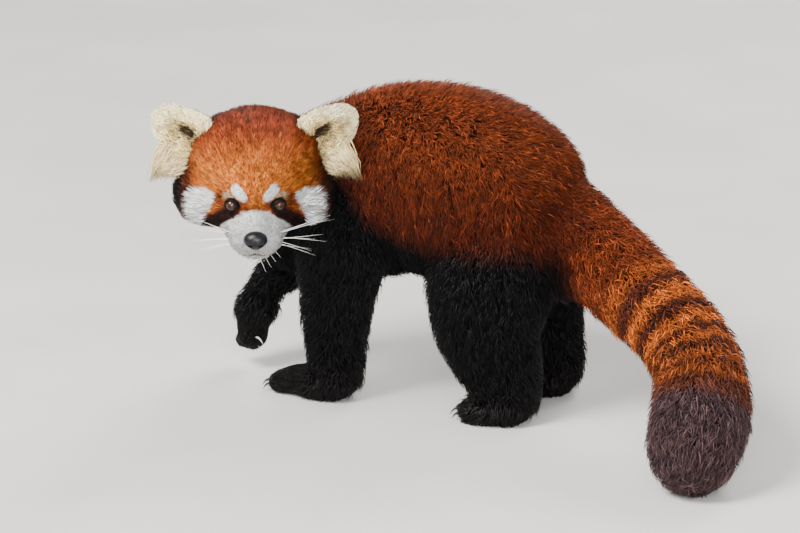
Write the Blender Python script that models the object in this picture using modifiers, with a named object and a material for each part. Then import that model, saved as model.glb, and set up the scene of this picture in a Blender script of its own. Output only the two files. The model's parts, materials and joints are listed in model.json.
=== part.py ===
"""A life-size red panda, standing with its right forepaw lifted and its head turned to its left.

The frame is in metres, +Z up. The animal faces -X, its left side faces -Y and the floor is Z = 0.
Sizes are written in millimetres and turned into metres where a mesh is made.
"""

import math
import random
from collections import namedtuple

import bmesh
import bpy
from mathutils import Matrix, Vector
from mathutils.bvhtree import BVHTree

MM = 0.001
GAP = 0.35
PLAN_CENTRE = Vector((70.0, -66.0, 0.0))

# Depth of the coat on each form, and the share of it that the core under the locks leaves free
COAT = {
    "torso": 22.0,
    "neck": 22.0,
    "tail": 26.0,
    "leg": 14.0,
    "paw": 0.0,
    "skull": 5.0,
    "cheek": 12.0,
    "face": 2.0,
}
LOCK_SHARE = 0.5

# How the whole body is fused, smoothed and thinned
VOXEL = 4.0
SMOOTH_TIMES = 9
BODY_TRIANGLES = 3600
RING_SIDES = 20
RINGS_BETWEEN = 3

# The head's own frame: x to the nose, y to its left, z to its crown
HEAD_CENTRE = Vector((-113.0, -105.0, 225.0))
HEAD_TURN = 107.5
HEAD_PITCH = 12.0
HEAD_ROLL = 0.0
HEAD_BACK = -34.0
EYE_PLACE = Vector((45.0, 20.0, 1.0))
EYE_RADIUS = 6.4
NOSE_PLACE = Vector((70.0, 0.0, -22.0))
NOSE_RADII = Vector((8.0, 10.5, 8.5))
EAR_PLACE = Vector((-8.0, 53.0, 34.0))
EAR_RADII = Vector((12.0, 30.0, 43.0))
EAR_LEAN = 45.0
EAR_TURN_OUT = 12.0
EAR_TAPER = 0.14

COLOURS = {
    "coat_red": ((0.33, 0.085, 0.022, 1.0), 0.85, 0.0),
    "coat_black": ((0.018, 0.015, 0.016, 1.0), 0.8, 0.0),
    "coat_face": ((0.46, 0.19, 0.06, 1.0), 0.85, 0.0),
    "coat_cream": ((0.80, 0.74, 0.58, 1.0), 0.9, 0.0),
    "coat_tail": ((0.42, 0.15, 0.045, 1.0), 0.85, 0.0),
    "coat_tail_dark": ((0.07, 0.035, 0.032, 1.0), 0.85, 0.0),
    "nose_skin": ((0.015, 0.014, 0.016, 1.0), 0.4, 0.0),
    "eye_glass": ((0.05, 0.022, 0.012, 1.0), 0.08, 0.0),
}

# Stations of a lofted form: centre x, y, z, then the half width to its side and the other half width
TORSO = [
    (-142, 4, 158, 34, 40),
    (-118, 2, 164, 50, 60),
    (-85, 0, 178, 58, 78),
    (-45, 0, 192, 66, 86),
    (0, 0, 207, 76, 89),
    (45, 0, 203, 84, 92),
    (85, 0, 187, 86, 88),
    (118, 0, 165, 76, 73),
    (145, -2, 158, 60, 58),
    (168, -9, 154, 47, 46),
]
NECK = [
    (-88, 2, 188, 50, 58),
    (-112, -22, 203, 50, 56),
    (-121, -58, 220, 52, 54),
    (-118, -80, 225, 54, 54),
]
TAIL = [
    (148, 6, 166, 46, 46),
    (178, -13, 151, 45, 45),
    (206, -34, 138, 43, 43),
    (234, -58, 126, 42, 42),
    (257, -78, 117, 41, 41),
    (277, -99, 106, 41, 41),
    (293, -119, 91, 42, 42),
    (301, -140, 73, 44, 44),
    (303, -161, 53, 46, 46),
    (302, -180, 38, 42, 42),
]
FORELEG_LEFT = [
    (-48, -42, 190, 28, 44),
    (-50, -46, 150, 31, 44),
    (-56, -42, 110, 29, 38),
    (-61, -34, 70, 26, 33),
    (-62, -27, 34, 24, 29),
    (-66, -24, 18, 22, 27),
]
FOREPAW_LEFT = [
    (-56, -26, 14, 19, 14),
    (-84, -21, 12.5, 23, 14),
    (-108, -17, 10.5, 24, 12),
]
FORELEG_RIGHT = [
    (-62, 40, 186, 28, 42),
    (-86, 46, 146, 27, 38),
    (-116, 44, 112, 24, 31),
    (-144, 36, 84, 19, 21),
    (-156, 32, 62, 17, 19),
]
FOREPAW_RIGHT = [
    (-156, 32, 58, 17, 17),
    (-160, 31, 42, 19, 15),
    (-159, 30, 30, 19, 13),
]
HIND_LEG_LEFT = [
    (88, -40, 168, 40, 56),
    (86, -50, 128, 40, 58),
    (84, -52, 92, 34, 52),
    (92, -48, 62, 29, 45),
    (100, -45, 34, 25, 37),
    (98, -43, 18, 24, 36),
]
HIND_LEG_RIGHT = [
    (98, 40, 166, 40, 54),
    (100, 48, 126, 38, 52),
    (104, 48, 92, 33, 46),
    (112, 46, 62, 28, 40),
    (120, 44, 34, 24, 34),
    (118, 43, 18, 23, 33),
]
HIND_FOOT_LEFT = [
    (112, -45, 13, 21, 15),
    (94, -43, 12, 25, 14),
    (77, -42, 10, 26, 12),
]
HIND_FOOT_RIGHT = [
    (130, 44, 13, 21, 15),
    (112, 43, 12, 24, 14),
    (95, 42, 10, 25, 12),
]

# Balls that round out the head, in its own frame: centre, half sizes and coat
HEAD_BALLS = [
    ((-8, 0, 4), (56, 62, 60), "skull"),
    ((-6, 22, 23), (44, 36, 36), "skull"),
    ((-6, -22, 23), (44, 36, 36), "skull"),
    ((16, 0, 14), (40, 46, 40), "skull"),
    ((2, 38, -10), (38, 36, 33), "cheek"),
    ((2, -38, -10), (38, 36, 33), "cheek"),
    ((26, 18, -14), (24, 24, 22), "face"),
    ((26, -18, -14), (24, 24, 22), "face"),
    ((38, 0, -25), (27, 30, 20), "face"),
    ((52, 11, -30), (16, 15, 12), "face"),
    ((52, -11, -30), (16, 15, 12), "face"),
    ((60, 0, -23), (13, 12, 11), "face"),
    ((40, 0, -40), (24, 20, 12), "face"),
    ((36, 19, 8), (13, 13, 8), "face"),
    ((36, -19, 8), (13, 13, 8), "face"),
]

# Toes and claws: the ball of a toe, how far toes fan out on a fore and a hind foot, how far they stand
# forward of the paw's end and how much less the outer ones do, and the width of a claw at its root
TOES = 4
TOE_RADIUS = 9.0
TOE_FAN_FORE = 15.0
TOE_FAN_HIND = 16.0
TOE_FORWARD = 12.0
TOE_CURVE = 6.0
CLAW_WIDTH = 2.2
CLAW_LOWEST = 3.0

# Where the tail lies on the floor: centre and radii
TAIL_REST = ((303.0, -166.0, 24.0), (22.0, 27.0, 27.0))

# How the locks of a node lie: the form whose run they follow and which way, or away from the nose where
# there is none, how far they fall, their length, and the least distance between their roots
Lie = namedtuple("Lie", "form sense fall length spacing")
LIES = {
    "torso": Lie("torso", 1, 0.35, 74, 16),
    "neck": Lie("neck", -1, 0.4, 54, 14),
    "tail_base": Lie("tail", 1, 0.0, 54, 14),
    "tail_middle": Lie("tail", 1, 0.0, 54, 14),
    "tail_tip": Lie("tail", 1, 0.0, 54, 13),
    "foreleg_left": Lie("foreleg_left", 1, 0.0, 42, 14),
    "foreleg_right": Lie("foreleg_right", 1, 0.0, 38, 13),
    "hind_leg_left": Lie("hind_leg_left", 1, 0.0, 46, 15),
    "hind_leg_right": Lie("hind_leg_right", 1, 0.0, 46, 15),
    "head": Lie(None, 1, 0.0, 34, 12),
}
# A finished lock: the middle of its root, and trees of all its faces and of those clear of its root
Lock = namedtuple("Lock", "root full upper")
LOCK_SEED = 7
LEAST_ROOT = 42.0
LOCK_SHORTER = (1.0, 0.8, 0.62, 0.45)
# A lock's rings: share of its length, share of the coat over the core, and what of the root's width and
# depth is left there
LOCK_RINGS = [(0.40, 0.55, 1.25, 0.20), (0.74, 0.88, 0.80, 0.14)]
# Room between locks, the share of a lock's first stretch that may lie on its own part, how near other
# locks are looked for, in lengths, and the room left over the floor
LOCK_CLEAR = 0.4
LOCK_FREE = 0.35
LOCK_REACH = 2.2
FLOOR_CLEAR = 0.8
EAR_TUFT_LOCKS = 5
EAR_LOCK_WIDTH = 12.0
EAR_TUFT_ROOTS = (Vector((-4.0, 66.0, 20.0)), Vector((-7.0, 77.0, 30.0)))
EAR_TUFT_TIPS = (Vector((-9.0, 75.0, -8.0)), Vector((-14.0, 97.0, -6.0)))
EAR_TUFT_SWEEP = 10.0
# A tuft lock's rings: share of its length, share of its width, thickness
TUFT_RINGS = [(0.0, 0.7, 2.0), (0.3, 1.0, 3.5), (0.68, 0.72, 3.0)]


def shifted(point):
    """A point in millimetres of the pose, as metres about the floor's centre."""
    return (Vector(point) - PLAN_CENTRE) * MM


def clear_scene():
    """Empties the scene that the script starts in."""
    for obj in list(bpy.data.objects):
        bpy.data.objects.remove(obj)


def head_axes():
    """The head's rotation, from its own frame to the pose's."""
    turn = Matrix.Rotation(math.radians(180.0 + HEAD_TURN), 3, "Z")
    pitch = Matrix.Rotation(math.radians(HEAD_PITCH), 3, "Y")
    roll = Matrix.Rotation(math.radians(HEAD_ROLL), 3, "X")
    return turn @ pitch @ roll


def of_head(point):
    """A point of the head's own frame in the pose's, in millimetres."""
    return HEAD_CENTRE + head_axes() @ Vector(point)


def collect(name):
    """A new collection in the scene."""
    collection = bpy.data.collections.new(name)
    bpy.context.scene.collection.children.link(collection)
    return collection


def mesh_object(name, bm, collection):
    """An object that holds a bmesh, with its faces pointing outwards."""
    bmesh.ops.recalc_face_normals(bm, faces=bm.faces)
    mesh = bpy.data.meshes.new(name)
    bm.to_mesh(mesh)
    bm.free()
    obj = bpy.data.objects.new(name, mesh)
    collection.objects.link(obj)
    return obj


def between(stations, steps):
    """Stations with more set between them, on a smooth curve through all of them."""
    rows = [list(map(float, s)) for s in stations]
    rows = [rows[0]] + rows + [rows[-1]]
    found = []
    for i in range(1, len(rows) - 2):
        before, start, end, after = rows[i - 1 : i + 3]
        for k in range(steps):
            t = k / steps
            found.append(
                [
                    0.5
                    * (
                        2 * b
                        + (c - a) * t
                        + (2 * a - 5 * b + 4 * c - d) * t * t
                        + (3 * b - a - 3 * c + d) * t**3
                    )
                    for a, b, c, d in zip(before, start, end, after)
                ]
            )
    found.append(rows[-1])
    return found


def rounded(rows):
    """Rows with a dome of three more at each end."""
    ends = []
    for end, inner in ((rows[0], rows[1]), (rows[-1], rows[-2])):
        centre = Vector(end[:3])
        out = (centre - Vector(inner[:3])).normalized()
        depth = min(end[3], end[4]) * 0.9
        dome = []
        for angle in (30, 55, 75):
            turn = math.radians(angle)
            place = centre + out * depth * math.sin(turn)
            dome.append([*place, end[3] * math.cos(turn), end[4] * math.cos(turn)])
        ends.append(dome)
    return ends[0][::-1] + rows + ends[1]


def loft(name, stations, side, collection, sides=RING_SIDES, steps=RINGS_BETWEEN, domed=True, inset=0.0):
    """A closed form through oval rings, whose first half width lies nearest to the side direction."""
    rows = [[*r[:3], r[3] - inset, r[4] - inset] for r in between(stations, steps)]
    if domed:
        rows = rounded(rows)
    centres = [Vector(r[:3]) for r in rows]
    bm = bmesh.new()
    rings = []
    for i, row in enumerate(rows):
        along = (centres[min(i + 1, len(rows) - 1)] - centres[max(i - 1, 0)]).normalized()
        across = (Vector(side) - along * along.dot(Vector(side))).normalized()
        other = along.cross(across)
        ring = []
        for k in range(sides):
            turn = 2 * math.pi * k / sides
            point = centres[i] + across * (row[3] * math.cos(turn)) + other * (row[4] * math.sin(turn))
            ring.append(bm.verts.new(shifted(point)))
        rings.append(ring)
    for low, high in zip(rings, rings[1:]):
        for k in range(sides):
            bm.faces.new((low[k], low[(k + 1) % sides], high[(k + 1) % sides], high[k]))
    bm.faces.new(rings[0][::-1])
    bm.faces.new(rings[-1])
    return mesh_object(name, bm, collection)


def ball(name, centre, radii, turn, collection, segments=24, taper=0.0):
    """An ellipsoid, its axes turned by a rotation, which a taper makes narrower towards its top."""
    bm = bmesh.new()
    bmesh.ops.create_uvsphere(bm, u_segments=segments, v_segments=segments // 2, radius=1.0)
    for vert in bm.verts:
        vert.co.y *= 1.0 - taper * vert.co.z
    size = Matrix.Diagonal((*[r * MM for r in radii], 1.0))
    place = Matrix.Translation(shifted(centre)) @ turn.to_4x4() @ size
    bmesh.ops.transform(bm, matrix=place, verts=bm.verts)
    return mesh_object(name, bm, collection)


def block(name, centre, half_sizes, turn, collection):
    """A box, its axes turned by a rotation."""
    bm = bmesh.new()
    bmesh.ops.create_cube(bm, size=2.0)
    size = Matrix.Diagonal((*[h * MM for h in half_sizes], 1.0))
    place = Matrix.Translation(shifted(centre)) @ turn.to_4x4() @ size
    bmesh.ops.transform(bm, matrix=place, verts=bm.verts)
    return mesh_object(name, bm, collection)


def settled(obj):
    """The object with its modifiers applied to its mesh."""
    graph = bpy.context.evaluated_depsgraph_get()
    mesh = bpy.data.meshes.new_from_object(obj.evaluated_get(graph))
    obj.modifiers.clear()
    obj.data = mesh
    return obj


def joined(name, pieces, collection):
    """One object that holds the faces of many, which are removed."""
    bm = bmesh.new()
    for piece in pieces:
        bm.from_mesh(piece.data)
        bpy.data.objects.remove(piece)
    return mesh_object(name, bm, collection)


def boolean(obj, other, operation):
    """Applies one Boolean with another object."""
    modifier = obj.modifiers.new(operation, "BOOLEAN")
    modifier.object = other
    modifier.operation = operation
    modifier.solver = "MANIFOLD"
    return settled(obj)


def copy_of(obj, name, collection):
    """A copy of an object with its own mesh."""
    twin = bpy.data.objects.new(name, obj.data.copy())
    collection.objects.link(twin)
    return twin


def largest_surface(obj):
    """The object with only the closed surface that holds the most."""
    bm = bmesh.new()
    bm.from_mesh(obj.data)
    bm.faces.ensure_lookup_table()
    seen = set()
    shells = []
    for first in bm.faces:
        if first.index in seen:
            continue
        shell, front = [], [first]
        seen.add(first.index)
        while front:
            face = front.pop()
            shell.append(face)
            for edge in face.edges:
                for linked in edge.link_faces:
                    if linked.index not in seen:
                        seen.add(linked.index)
                        front.append(linked)
        shells.append(shell)

    def holds(shell):
        return sum(
            loops[0].vert.co.dot(loops[k].vert.co.cross(loops[k + 1].vert.co))
            for loops in (face.loops[:] for face in shell)
            for k in range(1, len(loops) - 1)
        )

    kept = max(shells, key=holds)
    keep = {face.index for face in kept}
    bmesh.ops.delete(bm, geom=[f for f in bm.faces if f.index not in keep], context="FACES")
    bm.to_mesh(obj.data)
    bm.free()
    return obj


def grown(obj, name, distance, collection):
    """A copy of an object, made larger all round by a distance in millimetres."""
    twin = copy_of(obj, name, collection)
    bm = bmesh.new()
    bm.from_mesh(twin.data)
    bm.normal_update()
    moves = [(v, v.normal * distance * MM) for v in bm.verts]
    for vert, move in moves:
        vert.co += move
    bm.to_mesh(twin.data)
    bm.free()
    return twin


def toe_places(paw, fan):
    """The middle of each toe across a paw's front end, and the paw's forward direction."""
    tip, before = Vector(paw[-1][:3]), Vector(paw[-2][:3])
    forward = (tip - before).normalized()
    across = forward.cross(Vector((0, 0, 1))).normalized()
    places = []
    for k in range(TOES):
        share = 2 * k / (TOES - 1) - 1
        places.append(tip + across * (fan * share) + forward * (TOE_FORWARD - TOE_CURVE * share * share))
    return places, forward


def toes(name, paw, fan, collection):
    """The balls of a paw's toes, fanned across its front end."""
    places, forward = toe_places(paw, fan)
    radii = (TOE_RADIUS * 1.3, TOE_RADIUS * 0.85, TOE_RADIUS)
    turn = Matrix.Rotation(math.atan2(forward.y, forward.x), 3, "Z")
    made = []
    for k, place in enumerate(places):
        place.z = TOE_RADIUS * 0.95
        made.append(ball(f"{name}_{k}", place, radii, turn, collection, 12))
    return made


def hanging_toes(collection):
    """The toes of the lifted paw, which point down."""
    made = []
    for k in range(TOES):
        share = 2 * k / (TOES - 1) - 1
        place = Vector((-157 - 2 * share, 31 + 14 * share, 25 + 3 * share * share))
        made.append(ball(f"hanging_toe_{k}", place, (9, 6.5, 11), Matrix.Identity(3), collection, 12))
    return made


def core_inset(coat):
    """How far the core lies under the outline of a form, in millimetres."""
    return COAT[coat] * LOCK_SHARE


def forms():
    """The lofted forms by name: stations, side direction, coat and sides."""
    level = (0, 1, 0)
    return {
        "torso": (TORSO, level, "torso", 28),
        "neck": (NECK, (1, 0, 0), "neck", RING_SIDES),
        "tail": (TAIL, (0, 1, 0.3), "tail", RING_SIDES),
        "foreleg_left": (FORELEG_LEFT, level, "leg", RING_SIDES),
        "foreleg_right": (FORELEG_RIGHT, level, "leg", RING_SIDES),
        "hind_leg_left": (HIND_LEG_LEFT, level, "leg", RING_SIDES),
        "hind_leg_right": (HIND_LEG_RIGHT, level, "leg", RING_SIDES),
        "forepaw_left": (FOREPAW_LEFT, level, "paw", RING_SIDES),
        "forepaw_right": (FOREPAW_RIGHT, level, "paw", RING_SIDES),
        "hind_foot_left": (HIND_FOOT_LEFT, level, "paw", RING_SIDES),
        "hind_foot_right": (HIND_FOOT_RIGHT, level, "paw", RING_SIDES),
    }


def whole_body(helpers):
    """Torso, neck, head, legs and tail fused in one smooth closed core."""
    pieces = []
    for name, (stations, side, coat, sides) in forms().items():
        pieces.append(loft(name + "_form", stations, side, helpers, sides=sides, inset=core_inset(coat)))
    pieces += toes("toe_fl", FOREPAW_LEFT, TOE_FAN_FORE, helpers)
    pieces += toes("toe_hl", HIND_FOOT_LEFT, TOE_FAN_HIND, helpers)
    pieces += toes("toe_hr", HIND_FOOT_RIGHT, TOE_FAN_HIND, helpers)
    pieces += hanging_toes(helpers)
    pieces.append(ball("tail_rest", *TAIL_REST, Matrix.Identity(3), helpers))
    turn = head_axes()
    for k, (centre, radii, coat) in enumerate(HEAD_BALLS):
        radii = [r - core_inset(coat) for r in radii]
        pieces.append(ball(f"head_{k}", of_head(centre), radii, turn, helpers))
    body = joined("body", pieces, helpers)
    remesh = body.modifiers.new("Fuse", "REMESH")
    remesh.mode = "VOXEL"
    remesh.voxel_size = VOXEL * MM
    smooth = body.modifiers.new("Soften", "SMOOTH")
    smooth.factor = 0.5
    smooth.iterations = SMOOTH_TIMES
    settled(body)
    faces = sum(len(p.vertices) - 2 for p in body.data.polygons)
    thin = body.modifiers.new("Thin", "DECIMATE")
    thin.ratio = BODY_TRIANGLES / faces
    settled(body)
    floor = block("floor_cut", (60, -40, -60), (500, 500, 60), Matrix.Identity(3), helpers)
    boolean(body, floor, "DIFFERENCE")
    bpy.data.objects.remove(floor)
    return largest_surface(body)


def lock(name, rings, tip, collection):
    """A flat lock: rings of left edge, ridge, right edge and underside, drawn to a point at its tip."""
    bm = bmesh.new()
    rings = [[bm.verts.new(shifted(p)) for p in ring] for ring in rings]
    end = bm.verts.new(shifted(tip))
    sides = len(rings[0])
    for low, high in zip(rings, rings[1:]):
        for k in range(sides):
            bm.faces.new((low[k], low[(k + 1) % sides], high[(k + 1) % sides], high[k]))
    for k in range(sides):
        bm.faces.new((rings[-1][k], rings[-1][(k + 1) % sides], end))
    bm.faces.new(rings[0][::-1])
    bmesh.ops.triangulate(bm, faces=bm.faces)
    return mesh_object(name, bm, collection)


def dome_region(name, centre, radii, drop, collection):
    """A cutter for a limb: an upright oval column with a domed top."""
    rings = [(-drop, 1.0), (0.0, 1.0)]
    rings += [(radii[2] * math.sin(math.radians(a)), math.cos(math.radians(a))) for a in (25, 50, 75)]
    stations = [(centre[0], centre[1], centre[2] + z, radii[1] * s, radii[0] * s) for z, s in rings]
    return loft(name, stations, (0, 1, 0), collection, sides=16, steps=1, domed=False)


def regions(helpers):
    """Name and cutter of each part of the body, in the order in which they are cut off, twice: as it is
    and larger by the gap. What is left is the torso."""
    level = Matrix.Identity(3)
    head_turn = head_axes()
    neck_axis = (Vector(NECK[2][:3]) - Vector(NECK[0][:3])).normalized()
    neck_turn = neck_axis.to_track_quat("X", "Z").to_matrix()

    def head_box(name, more):
        half = (70 + more, 100 + more, 100 + more)
        return block(name, of_head((HEAD_BACK + 70, 0, 0)), half, head_turn, helpers)

    def neck_box(name, more):
        centre = Vector(NECK[1][:3]) + neck_axis * 40
        stations = [
            (*(centre - neck_axis * (45 + more)), 68 + more, 74 + more),
            (*(centre + neck_axis * (60 + more)), 68 + more, 74 + more),
        ]
        return loft(name, stations, neck_turn @ Vector((0, 1, 0)), helpers, sides=32, steps=1, domed=False)

    def box(low, high):
        centre = [(a + b) / 2 for a, b in zip(low, high)]
        half = [(b - a) / 2 for a, b in zip(low, high)]
        return lambda name, more: block(name, centre, [h + more for h in half], level, helpers)

    def dome(centre, radii, drop):
        return lambda name, more: dome_region(name, centre, [r + more for r in radii], drop + more, helpers)

    def beyond(station):
        """All of the tail past one of its stations, as a wide drum about its axis there."""

        def make(name, more):
            start = Vector(TAIL[station][:3])
            along = (Vector(TAIL[station + 1][:3]) - Vector(TAIL[station - 1][:3])).normalized()
            ends = (start - along * more, start + along * 170)
            stations = [(*end, 62 + more, 62 + more) for end in ends]
            return loft(name, stations, (0, 1, 0.3), helpers, sides=24, steps=1, domed=False)

        return make

    return [
        ("head", head_box),
        ("neck", neck_box),
        ("tail_tip", beyond(6)),
        ("tail_middle", beyond(3)),
        ("tail_base", beyond(1)),
        ("forepaw_left", box((-150, -70, -5), (-20, 30, 27))),
        ("foreleg_left", dome((-54, -42, 112), (50, 42, 62), 100)),
        ("forepaw_right", box((-200, 0, 0), (-130, 70, 58))),
        ("foreleg_right", dome((-92, 42, 108), (95, 42, 62), 100)),
        ("hind_foot_left", box((20, -95, -5), (150, 0, 27))),
        ("hind_leg_left", dome((88, -47, 118), (66, 47, 58), 98)),
        ("hind_foot_right", box((40, 2, -5), (170, 95, 27))),
        ("hind_leg_right", dome((104, 47, 116), (66, 46, 58), 96)),
    ]


def part_body(body, helpers, collection):
    """Cuts the body into its named parts, a gap apart, and returns them by name."""
    parts = {}
    for name, cutter in regions(helpers):
        inner = cutter(name + "_region", 0.0)
        outer = cutter(name + "_room", GAP)
        piece = copy_of(body, name, collection)
        boolean(piece, inner, "INTERSECT")
        boolean(body, outer, "DIFFERENCE")
        bpy.data.objects.remove(inner)
        bpy.data.objects.remove(outer)
        parts[name] = largest_surface(piece)
    torso = copy_of(body, "torso", collection)
    bpy.data.objects.remove(body)
    parts["torso"] = largest_surface(torso)
    return parts


def ear_lock(share, side, helpers):
    """One lock of the tuft below an ear, from the inner to the outer one as share goes from 0 to 1."""
    start = EAR_TUFT_ROOTS[0].lerp(EAR_TUFT_ROOTS[1], share)
    end = EAR_TUFT_TIPS[0].lerp(EAR_TUFT_TIPS[1], share)
    end.z -= EAR_TUFT_SWEEP * math.sin(math.pi * share)
    run = (end - start).normalized()
    across = run.cross(Vector((1, 0, 0))).normalized()

    def placed(point):
        return of_head((point.x, side * point.y, point.z))

    rings = []
    for along, spread, thick in TUFT_RINGS:
        middle = start.lerp(end, along) + Vector((3.0 - 3.0 * along, 0, 0))
        ring = (
            middle - across * (EAR_LOCK_WIDTH * spread / 2),
            middle + Vector((thick * 0.6, 0, 0)),
            middle + across * (EAR_LOCK_WIDTH * spread / 2),
            middle - Vector((thick * 0.4, 0, 0)),
        )
        rings.append([placed(point) for point in ring])
    return lock("ear_lock", rings, placed(end), helpers)


def ear(side, head, helpers, collection):
    """One ear, a cup that opens forwards and a little outwards, cut clear of the head."""
    name = "ear_left" if side > 0 else "ear_right"
    axes = head_axes()
    lean = Matrix.Rotation(math.radians(-EAR_LEAN * side), 3, "X")
    open_out = Matrix.Rotation(math.radians(EAR_TURN_OUT * side), 3, "Z")
    turn = axes @ lean @ open_out
    place = of_head((EAR_PLACE.x, side * EAR_PLACE.y, EAR_PLACE.z))
    cup = ball(name, place, EAR_RADII, turn, collection, 14, EAR_TAPER)
    hollow_place = place + turn @ Vector((10, 0, 15))
    hollow = ball("ear_hollow", hollow_place, (13, 16, 24), turn, helpers, 10, EAR_TAPER)
    boolean(cup, hollow, "DIFFERENCE")
    bpy.data.objects.remove(hollow)
    for k in range(EAR_TUFT_LOCKS):
        piece = ear_lock(k / (EAR_TUFT_LOCKS - 1), side, helpers)
        boolean(cup, piece, "UNION")
        bpy.data.objects.remove(piece)
    room = grown(head, "head_room", GAP, helpers)
    boolean(cup, room, "DIFFERENCE")
    bpy.data.objects.remove(room)
    return largest_surface(cup)


def eye(side, head, helpers, collection):
    """One eye in its socket, with the lids round it joined to the head."""
    name = "eye_left" if side > 0 else "eye_right"
    centre = Vector((EYE_PLACE.x, side * EYE_PLACE.y, EYE_PLACE.z))
    axes = head_axes()
    look = Vector((1.0, 0.42 * side, 0.06)).normalized()
    turn = axes @ look.to_track_quat("Z", "Y").to_matrix()
    bm = bmesh.new()
    major, minor, around, across = EYE_RADIUS - 0.4, 2.0, 12, 5
    rings = []
    for i in range(around):
        turn_i = 2 * math.pi * i / around
        out = Vector((math.cos(turn_i), math.sin(turn_i) * 0.86, 0))
        ring = []
        for k in range(across):
            turn_k = 2 * math.pi * k / across
            point = out * (major + minor * math.cos(turn_k)) + Vector((0, 0, 3.2 + minor * math.sin(turn_k)))
            ring.append(bm.verts.new(shifted(of_head(centre) + turn @ point)))
        rings.append(ring)
    for i in range(around):
        for k in range(across):
            nxt, far = (i + 1) % around, (k + 1) % across
            bm.faces.new((rings[i][k], rings[nxt][k], rings[nxt][far], rings[i][far]))
    lids = mesh_object("lids", bm, helpers)
    boolean(head, lids, "UNION")
    bpy.data.objects.remove(lids)
    ball_of_eye = ball(name, of_head(centre), [EYE_RADIUS] * 3, turn, collection, 12)
    socket = ball("socket", of_head(centre), [EYE_RADIUS + GAP] * 3, turn, helpers, 12)
    boolean(head, socket, "DIFFERENCE")
    bpy.data.objects.remove(socket)
    return ball_of_eye


def nose(head, helpers, collection):
    """The nose pad with its two nostrils, cut clear of the muzzle."""
    axes = head_axes()
    pad = ball("nose", of_head(NOSE_PLACE), NOSE_RADII, axes, collection, 12)
    for side in (-1, 1):
        place = of_head(NOSE_PLACE + Vector((6.2, 4.6 * side, -0.5)))
        hole = ball("nostril", place, (3.0, 2.2, 1.7), axes, helpers, 10)
        boolean(pad, hole, "DIFFERENCE")
        bpy.data.objects.remove(hole)
    room = grown(head, "head_room", GAP, helpers)
    boolean(pad, room, "DIFFERENCE")
    bpy.data.objects.remove(room)
    return largest_surface(pad)


def surface_of(obj):
    """A tree of the object's faces, to find places on its surface."""
    points = [v.co.copy() for v in obj.data.vertices]
    return BVHTree.FromPolygons(points, [list(p.vertices) for p in obj.data.polygons])


def mouth(head, helpers):
    """Cuts the line of the mouth, from under the nose back along both sides."""
    tree = surface_of(head)
    half = [(50, 25, -36), (56, 18, -39), (62, 9, -37)]
    path = half + [(66, 0, -33)] + [(x, -y, z) for x, y, z in reversed(half)]
    stations = []
    for point in path:
        place = tree.find_nearest(shifted(of_head(point)))[0] / MM + PLAN_CENTRE
        stations.append((*place, 1.1, 1.1))
    groove = loft("mouth_groove", stations, (0, 0, 1), helpers, sides=4, steps=1)
    boolean(head, groove, "DIFFERENCE")
    bpy.data.objects.remove(groove)


def join_claw(paw, start, end, helpers):
    """Joins one curved, tapered claw to a paw, from its root to its tip."""
    middle = (start + end) / 2 + Vector((0, 0, (end - start).length * 0.18))
    width = CLAW_WIDTH
    stations = [(*start, width, width * 1.2), (*middle, width * 0.75, width), (*end, 0.35, 0.4)]
    claw = loft("claw", stations, (0, 1, 0), helpers, sides=4, steps=1, domed=False)
    boolean(paw, claw, "UNION")
    bpy.data.objects.remove(claw)


def add_claws(parts, helpers):
    """Joins each paw's claws to it."""
    for name, paw, fan in (
        ("forepaw_left", FOREPAW_LEFT, TOE_FAN_FORE),
        ("hind_foot_left", HIND_FOOT_LEFT, TOE_FAN_HIND),
        ("hind_foot_right", HIND_FOOT_RIGHT, TOE_FAN_HIND),
    ):
        places, forward = toe_places(paw, fan)
        for place in places:
            root = Vector((place.x, place.y, TOE_RADIUS)) + forward * 7
            end = Vector((place.x, place.y, CLAW_LOWEST)) + forward * 20
            join_claw(parts[name], root, end, helpers)
        largest_surface(parts[name])
    for k in range(TOES):
        share = 2 * k / (TOES - 1) - 1
        root = Vector((-158 - 2 * share, 31 + 14 * share, 19 + 3 * share * share))
        join_claw(parts["forepaw_right"], root, root + Vector((-3, 0, -15)), helpers)
    largest_surface(parts["forepaw_right"])


def run_of(lie, rows, centre, normal):
    """The direction in which hair lies at a place, along the surface."""
    if lie.form is None:
        run = centre / MM + PLAN_CENTRE - of_head(NOSE_PLACE)
    else:
        nearest = min(range(len(rows) - 1), key=lambda i: (shifted(rows[i][:3]) - centre).length)
        run = (Vector(rows[nearest + 1][:3]) - Vector(rows[nearest][:3])).normalized() * lie.sense
        run.z -= lie.fall
    return (run - normal * run.dot(normal)).normalized()


def lock_points(corners, normal, heading, length, lift, skin, more):
    """The rings and the tip of a lock drawn out of a face, in metres, thicker by more than it will be."""
    centre = sum(corners, Vector()) / 3
    side = normal.cross(heading)
    ends = [((p - centre).dot(heading), (p - centre).dot(side)) for p in corners]
    rings, here, before = [], centre, 0.0
    for share, height, width, depth in LOCK_RINGS + [(1.0, 1.0, 0.0, 0.0)]:
        found, up, _, _ = skin.find_nearest(here + heading * ((share - before) * length * MM))
        heading = (heading - up * heading.dot(up)).normalized()
        across = up.cross(heading)
        here, before = found, share
        place = found + up * (height * lift * MM)
        rings.append(
            [
                place
                + across * (v * width + math.copysign(more, v))
                - up * (u * depth + math.copysign(more, u))
                for u, v in ends
            ]
        )
    return rings[:-1], sum(rings[-1], Vector()) / 3


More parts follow.
